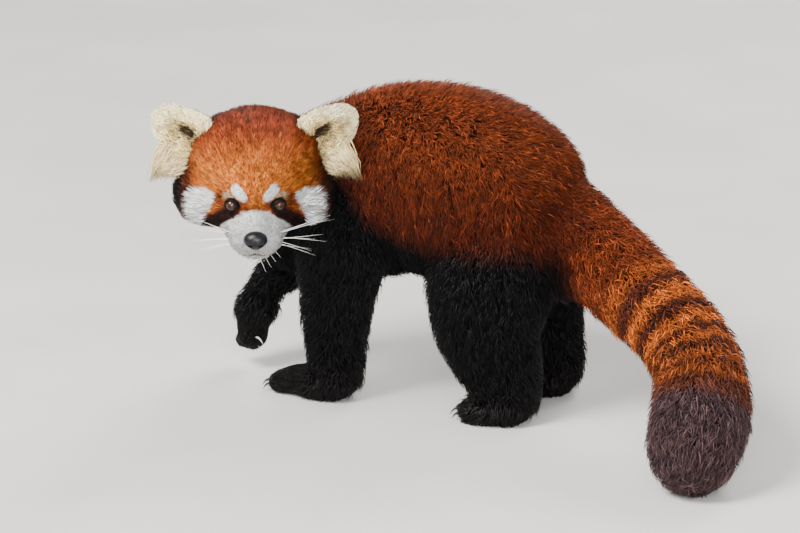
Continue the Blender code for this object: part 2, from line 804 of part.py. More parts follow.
def tree_of(rings, tip):
    """A tree of the faces between rings and up to the tip."""
    points = [p for ring in rings for p in ring] + [tip]
    faces = []
    for r in range(len(rings) - 1):
        for k in range(3):
            low, nxt = 3 * r + k, 3 * r + (k + 1) % 3
            faces += [(low, nxt, nxt + 3), (low, nxt + 3, low + 3)]
    last = 3 * (len(rings) - 1)
    faces += [(last + k, last + (k + 1) % 3, len(points) - 1) for k in range(3)]
    return BVHTree.FromPolygons(points, faces)


def lerped(low, high, share):
    """The points a share of the way from one ring to another."""
    return [a.lerp(b, share) for a, b in zip(low, high)]


def draw_out(bm, face, rings, tip):
    """Replaces a face by a lock that grows from its edges."""
    base = [loop.vert for loop in face.loops]
    bmesh.ops.delete(bm, geom=[face], context="FACES_ONLY")
    for ring in rings:
        above = [bm.verts.new(point) for point in ring]
        for k in range(3):
            far = (k + 1) % 3
            bm.faces.new((base[k], base[far], above[far]))
            bm.faces.new((base[k], above[far], above[k]))
        base = above
    end = bm.verts.new(tip)
    for k in range(3):
        bm.faces.new((base[k], base[(k + 1) % 3], end))


def carries_locks(name, centre, normal, skin):
    """Whether a place is on the coat of a part, and not on a cut or the face."""
    found, up, _, away = skin.find_nearest(centre)
    if away > 0.05 * MM or normal.dot(up) < 0.98:
        return False
    if name != "head":
        return True
    own = head_axes().inverted() @ (centre / MM + PLAN_CENTRE - HEAD_CENTRE)
    return own.x < 4 and (own.z < 6 or own.x < -22)


def roots_of(name, bm, skin):
    """The faces of a part that a lock may grow from, each with the part's name."""
    found = []
    for face in bm.faces:
        centre = face.calc_center_median()
        if face.calc_area() > LEAST_ROOT * MM * MM and carries_locks(name, centre, face.normal, skin):
            found.append((name, face, centre, face.normal.copy()))
    return found


def fits(name, low, full, upper, cores, near):
    """Whether a lock is over the floor and clear of all cores and of the locks near it."""
    if low < FLOOR_CLEAR * MM or upper.overlap(cores[name]):
        return False
    if any(full.overlap(core) for other, core in cores.items() if other != name):
        return False
    return not any(upper.overlap(lock.full) or full.overlap(lock.upper) for lock in near)


def coat(parts, skin):
    """Draws the locks of all furred parts out of their faces, in random order, each clear of all others."""
    draw = random.Random(LOCK_SEED)
    shapes = forms()
    rows = {name: between(shapes[lie.form][0], 4) for name, lie in LIES.items() if lie.form}
    meshes, roots = {}, []
    for name in LIES:
        bm = bmesh.new()
        bm.from_mesh(parts[name].data)
        bmesh.ops.triangulate(bm, faces=bm.faces)
        bm.normal_update()
        meshes[name] = bm
        roots += roots_of(name, bm, skin)
    cores = {name: surface_of(part) for name, part in parts.items()}
    draw.shuffle(roots)
    made = []
    for name, face, centre, normal in roots:
        lie = LIES[name]
        near = [lock for lock in made if (lock.root - centre).length < LOCK_REACH * lie.length * MM]
        if any((lock.root - centre).length < lie.spacing * MM for lock in near):
            continue
        lift = core_inset(shapes[lie.form][2] if lie.form else "cheek")
        heading = run_of(lie, rows.get(name), centre, normal)
        corners = [loop.vert.co.copy() for loop in face.loops]
        for shorter in LOCK_SHORTER:
            length = lie.length * shorter * draw.uniform(0.9, 1.1)
            rings, tip = lock_points(corners, normal, heading, length, lift, skin, 0.0)
            longer = length + 2 * LOCK_CLEAR
            wide, far = lock_points(corners, normal, heading, longer, lift, skin, LOCK_CLEAR * MM)
            full = tree_of([corners] + wide, far)
            upper = tree_of([lerped(corners, wide[0], LOCK_FREE)] + wide, far)
            lowest = min(point.z for ring in wide for point in ring + [far])
            if fits(name, lowest, full, upper, cores, near):
                draw_out(meshes[name], face, rings, tip)
                made.append(Lock(centre, full, upper))
                break
    for name, bm in meshes.items():
        bm.normal_update()
        bm.to_mesh(parts[name].data)
        bm.free()


def dress(parts):
    """Gives each part its material and its shading."""
    made = {}
    for name, (colour, roughness, metallic) in COLOURS.items():
        material = bpy.data.materials.new(name)
        material.use_nodes = True
        shader = material.node_tree.nodes["Principled BSDF"]
        shader.inputs["Base Color"].default_value = colour
        shader.inputs["Roughness"].default_value = roughness
        shader.inputs["Metallic"].default_value = metallic
        made[name] = material
    wears = {
        "head": "coat_face", "nose": "nose_skin", "eye": "eye_glass", "ear": "coat_cream", "neck": "coat_red",
        "torso": "coat_red", "tail_tip": "coat_tail_dark", "tail": "coat_tail",
    }
    for name, obj in parts.items():
        finish = next((f for start, f in wears.items() if name.startswith(start)), "coat_black")
        obj.data.materials.clear()
        obj.data.materials.append(made[finish])
        obj.data.shade_smooth()
        obj.data.set_sharp_from_angle(angle=math.radians(50))


def main():
    """Builds the red panda."""
    clear_scene()
    animal = collect("red_panda")
    helpers = collect("helpers")
    body = whole_body(helpers)
    skin = surface_of(body)
    parts = part_body(body, helpers, animal)
    head = parts["head"]
    mouth(head, helpers)
    for side, label in ((1, "left"), (-1, "right")):
        parts["eye_" + label] = eye(side, head, helpers, animal)
    largest_surface(head)
    for side, label in ((1, "left"), (-1, "right")):
        parts["ear_" + label] = ear(side, head, helpers, animal)
    parts["nose"] = nose(head, helpers, animal)
    add_claws(parts, helpers)
    coat(parts, skin)
    dress(parts)


main()
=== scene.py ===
"""A life-size red panda as a still museum model, dressed round the packed CAD solids.

The frame is the CAD's: metres, +Z up, the animal faces -X, its left side faces -Y and the floor is
Z = 0. Body sizes are written in millimetres of the pose, whose plan centre lies at PLAN_CENTRE.
"""

import json
import logging
import math
from dataclasses import dataclass, field
from enum import Enum
from functools import partial
from typing import Callable, Sequence

import bmesh
import bpy
import numpy as np
from mathutils import Matrix, Vector
from mathutils.bvhtree import BVHTree
from mathutils.kdtree import KDTree

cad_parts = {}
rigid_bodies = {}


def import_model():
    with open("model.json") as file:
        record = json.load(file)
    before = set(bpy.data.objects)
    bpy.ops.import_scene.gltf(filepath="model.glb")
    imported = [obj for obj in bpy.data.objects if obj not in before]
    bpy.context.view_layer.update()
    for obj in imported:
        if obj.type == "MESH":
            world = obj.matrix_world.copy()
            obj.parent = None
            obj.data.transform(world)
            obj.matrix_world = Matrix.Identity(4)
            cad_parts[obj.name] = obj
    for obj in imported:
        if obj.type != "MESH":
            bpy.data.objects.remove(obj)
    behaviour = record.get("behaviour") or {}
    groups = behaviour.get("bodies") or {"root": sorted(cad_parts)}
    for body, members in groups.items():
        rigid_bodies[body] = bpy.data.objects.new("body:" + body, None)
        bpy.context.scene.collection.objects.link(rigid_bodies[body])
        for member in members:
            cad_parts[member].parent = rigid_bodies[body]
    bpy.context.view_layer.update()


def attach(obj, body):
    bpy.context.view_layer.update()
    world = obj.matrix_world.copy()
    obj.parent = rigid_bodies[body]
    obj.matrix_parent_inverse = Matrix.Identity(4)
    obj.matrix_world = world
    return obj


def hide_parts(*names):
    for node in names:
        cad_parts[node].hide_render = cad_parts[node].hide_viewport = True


Array = np.ndarray
Piece = bpy.types.Object
Socket = bpy.types.NodeSocket
Triple = tuple[float, float, float]
Pairs = tuple[tuple[float, float], ...]

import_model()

LOG = logging.getLogger("red_panda")
MM = 0.001
PLAN_CENTRE = (70.0, -66.0, 0.0)
SEED = 11

# How deep the coat is on each form, in millimetres
COAT_DEPTH = {
    "torso": 22.0,
    "neck": 22.0,
    "tail": 26.0,
    "leg": 14.0,
    "paw": 0.0,
    "skull": 5.0,
    "cheek": 12.0,
    "face": 2.0,
}
# The solids' cores lie this share of that depth under the outline, and the skin lies deeper by SKIN_UNDER
CORE_SHARE = 0.5
SKIN_UNDER = 1.5
# The lowest point of skin and coat over the floor, in millimetres
FLOOR_CLEAR = 0.3


class Slot(Enum):
    """The record's material slots."""

    RED = "coat_red"
    FACE = "coat_face"
    CREAM = "coat_cream"
    BLACK = "coat_black"
    TAIL = "coat_tail"
    TAIL_DARK = "coat_tail_dark"
    NOSE = "nose_skin"
    EYE = "eye_glass"


class Side(Enum):
    """The animal's two sides, as the sign of the head's own y."""

    LEFT = 1
    RIGHT = -1

    @property
    def label(self) -> str:
        """The side's name in lower case."""
        return self.name.lower()


# Small helpers


def tone(red: float, green: float, blue: float) -> Array:
    """A colour of 0 to 255 a channel, as linear light."""
    value = np.array([red, green, blue], float) / 255.0
    return np.where(value <= 0.04045, value / 12.92, ((value + 0.055) / 1.055) ** 2.4)


def ease(value: Array, low: float, high: float) -> Array:
    """A smooth step from 0 at low to 1 at high."""
    share = np.clip((value - low) / (high - low), 0.0, 1.0)
    return share * share * (3.0 - 2.0 * share)


def mixed(under: Array, over: Array, share: Array) -> Array:
    """Colours with another laid over them by a share for each."""
    return under + (over - under) * share[:, None]


def unit(rows: Array) -> Array:
    """Rows of vectors, each made one long."""
    return rows / np.maximum(np.linalg.norm(rows, axis=1, keepdims=True), 1e-12)


def lengths(rows: Array) -> Array:
    """The length of each row."""
    return np.linalg.norm(rows, axis=1)


def dots(left: Array, right: Array) -> Array:
    """The dot product of each row with its partner."""
    return np.einsum("ij,ij->i", left, right)


def looked_up(values: Array, table: Sequence[Sequence[float]]) -> Array:
    """What a table of pairs gives for values, with straight lines between its rows."""
    return np.interp(values, *np.array(table, float).T)


def to_frame(points: Array) -> Array:
    """Pose millimetres as metres of the CAD frame."""
    return (np.asarray(points, float) - np.array(PLAN_CENTRE)) * MM


def to_pose(points: Array) -> Array:
    """Metres of the CAD frame as pose millimetres."""
    return np.asarray(points, float) / MM + np.array(PLAN_CENTRE)


def deselect() -> None:
    """Leaves edit mode and deselects everything."""
    if bpy.context.object and bpy.context.object.mode != "OBJECT":
        bpy.ops.object.mode_set(mode="OBJECT")
    bpy.ops.object.select_all(action="DESELECT")


def choose(piece: Piece) -> Piece:
    """Makes one object the selected and active one.

    Args:
        piece: The object to work on.

    Returns:
        The same object.
    """
    deselect()
    piece.select_set(True)
    bpy.context.view_layer.objects.active = piece
    return piece


def settle(piece: Piece) -> Piece:
    """Puts an object's place into its mesh, so that the object sits at the origin.

    Args:
        piece: The object to work on.

    Returns:
        The same object.
    """
    choose(piece)
    bpy.ops.object.transform_apply(location=True, rotation=True, scale=True)
    return piece


def apply_modifier(piece: Piece, kind: str, **settings: object) -> None:
    """Adds one modifier and applies it.

    Args:
        piece: The object that gets it.
        kind: Blender's name of the modifier.
        **settings: Its values by name.
    """
    choose(piece)
    modifier = piece.modifiers.new(kind.title(), kind)
    for name, value in settings.items():
        setattr(modifier, name, value)
    bpy.ops.object.modifier_apply(modifier=modifier.name)


def joined(name: str, pieces: Sequence[Piece]) -> Piece:
    """Several objects made one.

    Args:
        name: The name of the result.
        pieces: The objects, the first of which takes in the others.

    Returns:
        The joined object.
    """
    deselect()
    for piece in pieces:
        piece.select_set(True)
    bpy.context.view_layer.objects.active = pieces[0]
    if len(pieces) > 1:
        bpy.ops.object.join()
    pieces[0].name = name
    return pieces[0]


def ball(
    name: str, centre: Vector, radii: Sequence[float], turn: Matrix, segments: int = 32
) -> Piece:
    """An ellipsoid in the CAD frame.

    Args:
        name: The name of the object.
        centre: Its middle in metres.
        radii: Its half sizes in millimetres.
        turn: The rotation of its axes.
        segments: How many faces it has round its waist.

    Returns:
        The ellipsoid, settled.
    """
    deselect()
    bpy.ops.mesh.primitive_uv_sphere_add(
        segments=segments,
        ring_count=segments // 2,
        radius=1.0,
        location=centre,
        rotation=turn.to_euler(),
        scale=[r * MM for r in radii],
    )
    piece = bpy.context.object
    piece.name = name
    return settle(piece)


def coordinates(piece: Piece) -> Array:
    """The places of an object's vertices, in metres.

    Args:
        piece: The object to work on.

    Returns:
        A row for each vertex.
    """
    values = np.empty(len(piece.data.vertices) * 3, np.float64)
    piece.data.vertices.foreach_get("co", values)
    return values.reshape(-1, 3)


def reshape(piece: Piece, points: Array) -> None:
    """Moves an object's vertices to new places, in metres."""
    piece.data.vertices.foreach_set("co", np.ascontiguousarray(points, np.float64).reshape(-1))
    piece.data.update()


def outwards(piece: Piece) -> Piece:
    """Merges doubles and turns all faces outwards.

    Args:
        piece: The object to work on.

    Returns:
        The same object.
    """
    choose(piece)
    bpy.ops.object.mode_set(mode="EDIT")
    bpy.ops.mesh.select_all(action="SELECT")
    bpy.ops.mesh.remove_doubles(threshold=0.00001)
    bpy.ops.mesh.normals_make_consistent(inside=False)
    bpy.ops.object.mode_set(mode="OBJECT")
    return piece


def smooth_shaded(piece: Piece) -> Piece:
    """Shades an object smoothly.

    Args:
        piece: The object to work on.

    Returns:
        The same object.
    """
    choose(piece)
    bpy.ops.object.shade_smooth()
    return piece


def tube(name: str, points: Array, sizes: Sequence[float], radius: float) -> Piece:
    """A tapered tube along points, with closed ends.

    Args:
        name: The name of the piece.
        points: Its path in metres.
        sizes: The share of the radius at each point.
        radius: Its greatest radius in millimetres.

    Returns:
        The tube as a mesh.
    """
    curve = bpy.data.curves.new(name, "CURVE")
    curve.dimensions = "3D"
    curve.bevel_depth = radius * MM
    curve.bevel_resolution = 1
    curve.resolution_u = 6
    curve.use_fill_caps = True
    line = curve.splines.new("BEZIER")
    line.bezier_points.add(len(points) - 1)
    for knot, point, size in zip(line.bezier_points, points, sizes):
        knot.co = point
        knot.radius = size
        knot.handle_left_type = "AUTO"
        knot.handle_right_type = "AUTO"
    piece = bpy.data.objects.new(name, curve)
    bpy.context.scene.collection.objects.link(piece)
    choose(piece)
    bpy.ops.object.convert(target="MESH")
    return smooth_shaded(outwards(bpy.context.object))


def colour_attribute(mesh: bpy.types.Mesh, colours: Array) -> None:
    """Writes linear colours to a mesh's vertices, as the markings that its material reads.

    Args:
        mesh: The mesh that gets them.
        colours: A row of red, green and blue for each vertex.
    """
    layer = mesh.color_attributes.new("markings", "FLOAT_COLOR", "POINT")
    values = np.ones((len(colours), 4), np.float32)
    values[:, :3] = colours
    layer.data.foreach_set("color", values.reshape(-1))


# The animal's measures


@dataclass(frozen=True)
class HeadFrame:
    """The head's own frame: x to the nose, y to its left and z to its crown, in millimetres."""

    centre: Triple = (-113.0, -105.0, 225.0)
    turn: float = 107.5
    pitch: float = 12.0

    def axes(self) -> Matrix:
        """The rotation from the head's own frame to the pose's."""
        turned = Matrix.Rotation(math.radians(180.0 + self.turn), 3, "Z")
        return turned @ Matrix.Rotation(math.radians(self.pitch), 3, "Y")

    def place(self, point: Sequence[float]) -> Vector:
        """A point of the head in metres of the CAD frame."""
        pose = Vector(self.centre) + self.axes() @ Vector(point)
        return (pose - Vector(PLAN_CENTRE)) * MM

    def places(self, points: Array) -> Array:
        """Many points of the head in metres of the CAD frame."""
        turned = np.asarray(points, float) @ np.array(self.axes()).T
        return to_frame(turned + np.array(self.centre))

    def own(self, pose: Array) -> Array:
        """Pose points in the head's own frame."""
        return (pose - np.array(self.centre)) @ np.array(self.axes())

    def direction(self, run: Sequence[float]) -> Array:
        """A direction of the head in the CAD frame."""
        return np.array(self.axes() @ Vector(run))


@dataclass(frozen=True)
class Form:
    """A lofted form: rings of centre x, y, z and two half widths, and how its coat lies."""

    name: str
    rings: tuple[tuple[float, ...], ...]
    side: Triple
    coat: str
    sense: float = 1.0
    fall: float = 0.0
    sides: int = 24

    def rows(self, steps: int = 4) -> Array:
        """The rings with more set between them, on a smooth curve through all.

        Args:
            steps: How many rows each ring is followed by.

        Returns:
            All rows, the rings among them.
        """
        knots = np.array(self.rings, float)
        knots = np.vstack([knots[:1], knots, knots[-1:]])
        found = []
        for before, start, end, after in zip(knots, knots[1:], knots[2:], knots[3:]):
            for share in np.arange(steps) / steps:
                found.append(
                    0.5
                    * (
                        2 * start
                        + (end - before) * share
                        + (2 * before - 5 * start + 4 * end - after) * share**2
                        + (3 * start - before - 3 * end + after) * share**3
                    )
                )
        return np.vstack([found, knots[-1:]])

    def inset(self) -> float:
        """How far the skin lies under the form's outline."""
        return COAT_DEPTH[self.coat] * CORE_SHARE + SKIN_UNDER


LEVEL = (0.0, 1.0, 0.0)
TORSO_RINGS = (
    (-142, 4, 158, 34, 40), (-118, 2, 164, 50, 60), (-85, 0, 178, 58, 78), (-45, 0, 192, 66, 86),
    (0, 0, 207, 76, 89), (45, 0, 203, 84, 92), (85, 0, 187, 86, 88), (118, 0, 165, 76, 73),
    (145, -2, 158, 60, 58), (168, -9, 154, 47, 46),
)
NECK_RINGS = (
    (-88, 2, 188, 50, 58), (-112, -22, 203, 50, 56), (-121, -58, 220, 52, 54), (-118, -80, 225, 54, 54),
)
TAIL_RINGS = (
    (148, 6, 166, 46, 46), (178, -13, 151, 45, 45), (206, -34, 138, 43, 43), (234, -58, 126, 42, 42),
    (257, -78, 117, 41, 41), (277, -99, 106, 41, 41), (293, -119, 91, 42, 42), (301, -140, 73, 44, 44),
    (303, -161, 53, 46, 46), (302, -180, 38, 42, 42),
)
LEG_RINGS = {
    "foreleg_left": (
        (-48, -42, 190, 28, 44), (-50, -46, 150, 31, 44), (-56, -42, 110, 29, 38),
        (-61, -34, 70, 26, 33), (-62, -27, 34, 24, 29), (-66, -24, 18, 22, 27),
    ),
    "foreleg_right": (
        (-62, 40, 186, 28, 42), (-86, 46, 146, 27, 38), (-116, 44, 112, 24, 31),
        (-144, 36, 84, 19, 21), (-156, 32, 62, 17, 19),
    ),
    "hind_leg_left": (
        (88, -40, 168, 40, 56), (86, -50, 128, 40, 58), (84, -52, 92, 34, 52),
        (92, -48, 62, 29, 45), (100, -45, 34, 25, 37), (98, -43, 18, 24, 36),
    ),
    "hind_leg_right": (
        (98, 40, 166, 40, 54), (100, 48, 126, 38, 52), (104, 48, 92, 33, 46),
        (112, 46, 62, 28, 40), (120, 44, 34, 24, 34), (118, 43, 18, 23, 33),
    ),
}
PAW_RINGS = {
    "forepaw_left": ((-56, -26, 14, 19, 14), (-84, -21, 12.5, 23, 14), (-108, -17, 10.5, 24, 12)),
    "hind_foot_left": ((112, -45, 13, 21, 15), (94, -43, 12, 25, 14), (77, -42, 10, 26, 12)),
    "hind_foot_right": ((130, 44, 13, 21, 15), (112, 43, 12, 24, 14), (95, 42, 10, 25, 12)),
    "forepaw_right": ((-156, 32, 58, 17, 17), (-160, 31, 42, 19, 15), (-159, 30, 30, 19, 13)),
}
TORSO = Form("torso", TORSO_RINGS, LEVEL, "torso", sense=0.5, fall=0.9, sides=32)
NECK = Form("neck", NECK_RINGS, (1.0, 0.0, 0.0), "neck", sense=-1.0, fall=0.6)
TAIL = Form("tail", TAIL_RINGS, (0.0, 1.0, 0.3), "tail", fall=0.2)
LEGS = tuple(Form(name, rings, LEVEL, "leg") for name, rings in LEG_RINGS.items())
PAWS = tuple(Form(name, rings, LEVEL, "paw") for name, rings in PAW_RINGS.items())
FORMS = (TORSO, NECK, TAIL, *LEGS, *PAWS)
FLESH_NODES = ("head", "neck", "torso", *LEG_RINGS, *PAW_RINGS, "tail_base", "tail_middle", "tail_tip")


@dataclass(frozen=True)
class Toe:
    """One toe: its middle and half sizes, and its claw from root to tip, in pose millimetres."""

    centre: Triple
    radii: Triple
    turn: float
    claw_root: Triple
    claw_tip: Triple
    claw_radius: float
    lifted: bool = False


@dataclass(frozen=True)
class ToePlan:
    """Where the toes stand on each paw."""

    count: int = 4
    radius: float = 9.0
    forward: float = 12.0
    curve: float = 6.0
    fan_fore: float = 15.0
    fan_hind: float = 16.0
    claw_lowest: float = 3.0
    claw_start: float = 7.0
    claw_reach: float = 16.5

    def shares(self) -> list[float]:
        """From -1 to 1 across a paw, one for each toe."""
        return [2 * k / (self.count - 1) - 1 for k in range(self.count)]

    def standing(self, paw: Form) -> list[Toe]:
        """The toes of a paw that stands on the floor.

        Args:
            paw: The paw.

        Returns:
            Its toes.
        """
        tip, before = Vector(paw.rings[-1][:3]), Vector(paw.rings[-2][:3])
        ahead = (tip - before).normalized()
        across = ahead.cross(Vector((0, 0, 1))).normalized()
        fan = self.fan_fore if paw.name.startswith("fore") else self.fan_hind
        turn = math.atan2(ahead.y, ahead.x)
        found = []
        for share in self.shares():
            place = tip + across * (fan * share) + ahead * (self.forward - self.curve * share * share)
            middle = (place.x, place.y, self.radius * 0.95)
            root = Vector((place.x, place.y, self.radius)) + ahead * self.claw_start
            end = Vector((place.x, place.y, self.claw_lowest)) + ahead * self.claw_reach
            radii = (self.radius * 1.3, self.radius * 0.85, self.radius)
            found.append(Toe(middle, radii, turn, tuple(root), tuple(end), 1.5))
        return found

    def hanging(self) -> list[Toe]:
        """The toes of the lifted forepaw, which hang in a slanting row, and its thumb.

        Returns:
            Its four toes and its thumb.
        """
        found = []
        for share in self.shares():
            place = Vector((-164.5 - 7.5 * share, 27.5 + 9 * share, 29.5 - 7 * share + 2 * share * share))
            found.append(self.hung(place, (9.0, 7.0, 10.0), (3.0, -2.0, -3.0), (12.0, -3.0, -10.5), 1.3))
        thumb = Vector((-158.0, 21.0, 61.0))
        found.append(self.hung(thumb, (8.0, 6.5, 8.0), (4.0, -1.5, 0.5), (15.0, -2.0, -6.5), 1.2))
        return found

    @staticmethod
    def hung(place: Vector, radii: tuple, root: tuple, tip: tuple, claw: float) -> Toe:
        """One hanging toe, with its claw's root and tip counted from its middle."""
        start, end = tuple(place + Vector(root)), tuple(place + Vector(tip))
        return Toe(tuple(place), radii, 0.0, start, end, claw, True)

    def all(self) -> list[Toe]:
        """Every toe of the animal."""
        return [toe for paw in PAWS[:3] for toe in self.standing(paw)] + self.hanging()


@dataclass(frozen=True)
class HeadSizes:
    """The places and sizes on the head, in its own frame."""

    eye: Triple = (45.0, 20.0, 1.0)
    eye_radius: float = 6.4
    look_out: float = 0.42
    look_up: float = 0.06
    nose: Triple = (70.0, 0.0, -22.0)
    nose_radii: Triple = (8.0, 10.5, 8.5)
    ear: Triple = (-8.0, 53.0, 34.0)
    ear_radii: Triple = (12.0, 30.0, 43.0)
    ear_lean: float = 45.0
    ear_turn_out: float = 12.0
    ear_taper: float = 0.14
    mouth: tuple[Triple, ...] = (
        (46, 23, -40), (53, 16, -42.5), (59, 7, -42.5), (61.5, 0, -40.5),
    )
    balls: tuple[tuple[Triple, Triple, str], ...] = (
        ((-8, 0, 4), (56, 62, 60), "skull"),
        ((-6, 22, 23), (44, 36, 36), "skull"),
        ((-6, -22, 23), (44, 36, 36), "skull"),
        ((16, 0, 14), (40, 46, 40), "skull"),
        ((2, 38, -10), (38, 36, 33), "cheek"),
        ((2, -38, -10), (38, 36, 33), "cheek"),
        ((26, 18, -14), (24, 24, 22), "face"),
        ((26, -18, -14), (24, 24, 22), "face"),
        ((38, 0, -25), (27, 30, 20), "face"),
        ((52, 11, -30), (16, 15, 12), "face"),
        ((52, -11, -30), (16, 15, 12), "face"),
        ((60, 0, -23), (13, 12, 11), "face"),
        ((40, 0, -40), (24, 20, 12), "face"),
        ((36, 19, 8), (13, 13, 8), "face"),
        ((36, -19, 8), (13, 13, 8), "face"),
    )

    def eye_place(self, side: Side) -> Triple:
        """The middle of one eye."""
        return (self.eye[0], self.eye[1] * side.value, self.eye[2])

    def eye_turn(self, side: Side, head: HeadFrame) -> Matrix:
        """A rotation whose z looks out of one eye."""
        look = Vector((1.0, self.look_out * side.value, self.look_up)).normalized()
        return head.axes() @ look.to_track_quat("Z", "Y").to_matrix()

    def ear_place(self, side: Side) -> Triple:
        """The middle of one ear."""
        return (self.ear[0], self.ear[1] * side.value, self.ear[2])

    def ear_turn(self, side: Side, head: HeadFrame) -> Matrix:
        """The rotation of one ear, whose x is the way it opens and z its long way.

        Args:
            side: Which of the animal's sides.
            head: The head's frame.

        Returns:
            The rotation in the CAD frame.
        """
        lean = Matrix.Rotation(math.radians(-self.ear_lean * side.value), 3, "X")
        out = Matrix.Rotation(math.radians(self.ear_turn_out * side.value), 3, "Z")
        return head.axes() @ lean @ out


HEAD = HeadFrame()
FACE = HeadSizes()
TOES = ToePlan()
TAIL_REST = ((303.0, -166.0, 24.0), (22.0, 27.0, 27.0))


# Where a place is on the animal


@dataclass
class Anatomy:
    """Tells for any place how near it is to each form, and the coat that it carries there."""

    sharpness: float = 14.0
    whorl: Triple = (123.0, 82.0, 214.0)
    whorl_reach: float = 34.0
    whorl_pull: float = 2.2
    face_source: Triple = (60.0, 0.0, -14.0)
    eye_pull: float = 1.4
    eye_fade: float = 4.0
    row_steps: int = 4

    def __post_init__(self) -> None:
        """Keeps the dense rows of all lofted forms."""
        self.rows = {form.name: form.rows(self.row_steps) for form in FORMS}

    def head_nearness(self, pose: Array) -> Array:
        """How near places are to the head: 1 on its surface and more outside.

        Args:
            pose: The places in pose millimetres.

        Returns:
            The nearness of each.
        """
        own = HEAD.own(pose)
        parts = [lengths((own - np.array(c)) / np.array(r)) for c, r, _ in FACE.balls]
        return np.min(parts, axis=0)

    def nearest_row(self, form: str, pose: Array) -> tuple[Array, Array]:
        """The nearest row of a form to each place, and how near it is in its radii.

        Args:
            form: The form's name.
            pose: The places in pose millimetres.

        Returns:
            Each place's row, and its nearness in radii.
        """
        rows = self.rows[form]
        best = np.full(len(pose), 1e9)
        index = np.zeros(len(pose), int)
        for k, row in enumerate(rows):
            near = lengths(pose - row[:3]) / (0.5 * (row[3] + row[4]))
            closer = near < best
            best[closer] = near[closer]
            index[closer] = k
        return index, best

    def weights(self, pose: Array) -> dict[str, Array]:
        """The share of each form at each place, which add up to one.

        Args:
            pose: The places in pose millimetres.

        Returns:
            The shares by the forms' names.
        """
        near = {form.name: self.nearest_row(form.name, pose)[1] for form in FORMS}
        near["head"] = self.head_nearness(pose)
        least = np.min(list(near.values()), axis=0)
        raw = {name: np.exp(-self.sharpness * (value - least)) for name, value in near.items()}
        total = np.sum(list(raw.values()), axis=0)
        return {name: value / total for name, value in raw.items()}

    def along(self, form: str, index: Array) -> Array:
        """From the row before to the row after each of a form's rows."""
        rows = self.rows[form][:, :3]
        return rows[np.minimum(index + 1, len(rows) - 1)] - rows[np.maximum(index - 1, 0)]

    def run(self, form: Form, pose: Array) -> Array:
        """The way along a form at each place, in which its coat lies.

        Args:
            form: The form.
            pose: The places in pose millimetres.

        Returns:
            A direction for each place.
        """
        index, _ = self.nearest_row(form.name, pose)
        way = unit(self.along(form.name, index)) * form.sense
        way[:, 2] -= form.fall
        if form is TORSO:
            off = pose - np.array(self.whorl)
            off[:, 1] = (np.abs(pose[:, 1]) - self.whorl[1]) * np.sign(pose[:, 1])
            near = lengths(off)
            way += unit(off) * (self.whorl_pull * np.exp(-((near / self.whorl_reach) ** 2)))[:, None]
        return way

    def head_run(self, pose: Array) -> Array:
        """The lie of the head's coat: away from the nose, and round the eyes.

        Args:
            pose: The places in pose millimetres.

        Returns:
            A direction for each place.
        """
        own = HEAD.own(pose)
        way = unit(own - np.array(self.face_source))
        for side in Side:
            off = own - np.array(FACE.eye_place(side))
            near = np.maximum(lengths(off) - FACE.eye_radius, 0)
            way += unit(off) * (self.eye_pull * np.exp(-near / self.eye_fade))[:, None]
        return way @ np.array(HEAD.axes()).T

    def tail_station(self, pose: Array) -> Array:
        """Where along the tail places lie, counted in its rings.

        Args:
            pose: The places in pose millimetres.

        Returns:
            The station of each.
        """
        rows = self.rows["tail"]
        index, _ = self.nearest_row("tail", pose)
        way = self.along("tail", index)
        length = lengths(way)
        apart = np.minimum(index + 1, len(rows) - 1) - np.maximum(index - 1, 0)
        step = length / np.maximum(apart, 1)
        beyond = dots(pose - rows[index, :3], way / length[:, None])
        return (index + np.clip(beyond / step, -0.6, 8.0)) / self.row_steps


# The markings


@dataclass(frozen=True)
class Palette:
    """The animal's colours."""

    golden: Triple = (198, 106, 38)
    crown: Triple = (142, 60, 34)
    maroon: Triple = (74, 30, 24)
    back: Triple = (102, 43, 17)
    flank: Triple = (80, 30, 12)
    black: Triple = (6, 6, 8)
    paw: Triple = (17, 12, 13)
    white: Triple = (248, 246, 242)
    pale_brow: Triple = (200, 166, 130)
    stripe: Triple = (120, 56, 30)
    tear: Triple = (40, 21, 17)
    cream: Triple = (232, 203, 142)
    rim: Triple = (250, 229, 180)
    # Painted shade in the ear's hollow
    ear_hole: Triple = (48, 30, 20)
    chin: Triple = (200, 180, 150)
    ring_light: Triple = (184, 92, 34)
    ring_dark: Triple = (50, 22, 20)
    tail_root: Triple = (104, 42, 18)
    tail_tip: Triple = (70, 52, 53)


PALETTE = Palette()


@dataclass(frozen=True)
class FaceMap:
    """The outlines of the face's marks on its front, as distance to the side and height, in millimetres.

    The height is measured at a right angle to a line that runs 30 degrees down from the brow.
    """

    cheek: Pairs = (
        (36.5, -12), (44, -7), (57, -6), (62, -13), (63.5, -24), (60, -35), (53, -42), (47.5, -37),
        (43, -27), (38, -20),
    )
    muzzle: Pairs = (
        (0, -27.5), (9, -28), (13, -29.5), (18.5, -34), (29.5, -38), (32.5, -45), (26, -57),
        (14.5, -67), (0, -76),
    )
    brow: Pairs = ((17.2, -8.6), (11.2, -16.6))
    brow_radius: float = 4.2
    pale_brow: tuple[float, float] = (23.8, -14.0)
    pale_half: tuple[float, float] = (5.5, 3.8)
    outer_eye: tuple[float, float] = (31.0, -17.0)
    outer_half: tuple[float, float] = (6.5, 8.0)
    tear: Pairs = ((23.0, -29.0), (43.0, -40.5))
    tear_core: float = 5.4
    tear_edge: float = 9.6
    ear_base: tuple[float, float] = (41.0, 58.0)
    ear_base_half: tuple[float, float] = (9.0, 10.0)
    chin_line: float = -68.0
    # The dark rust streak at each eye's inner corner: partly the coat's own marking, partly painted shade
    # in the hollow between eye and muzzle
    inner_corner: Pairs = ((14.0, -21.0), (8.0, -26.5))


MAP = FaceMap()


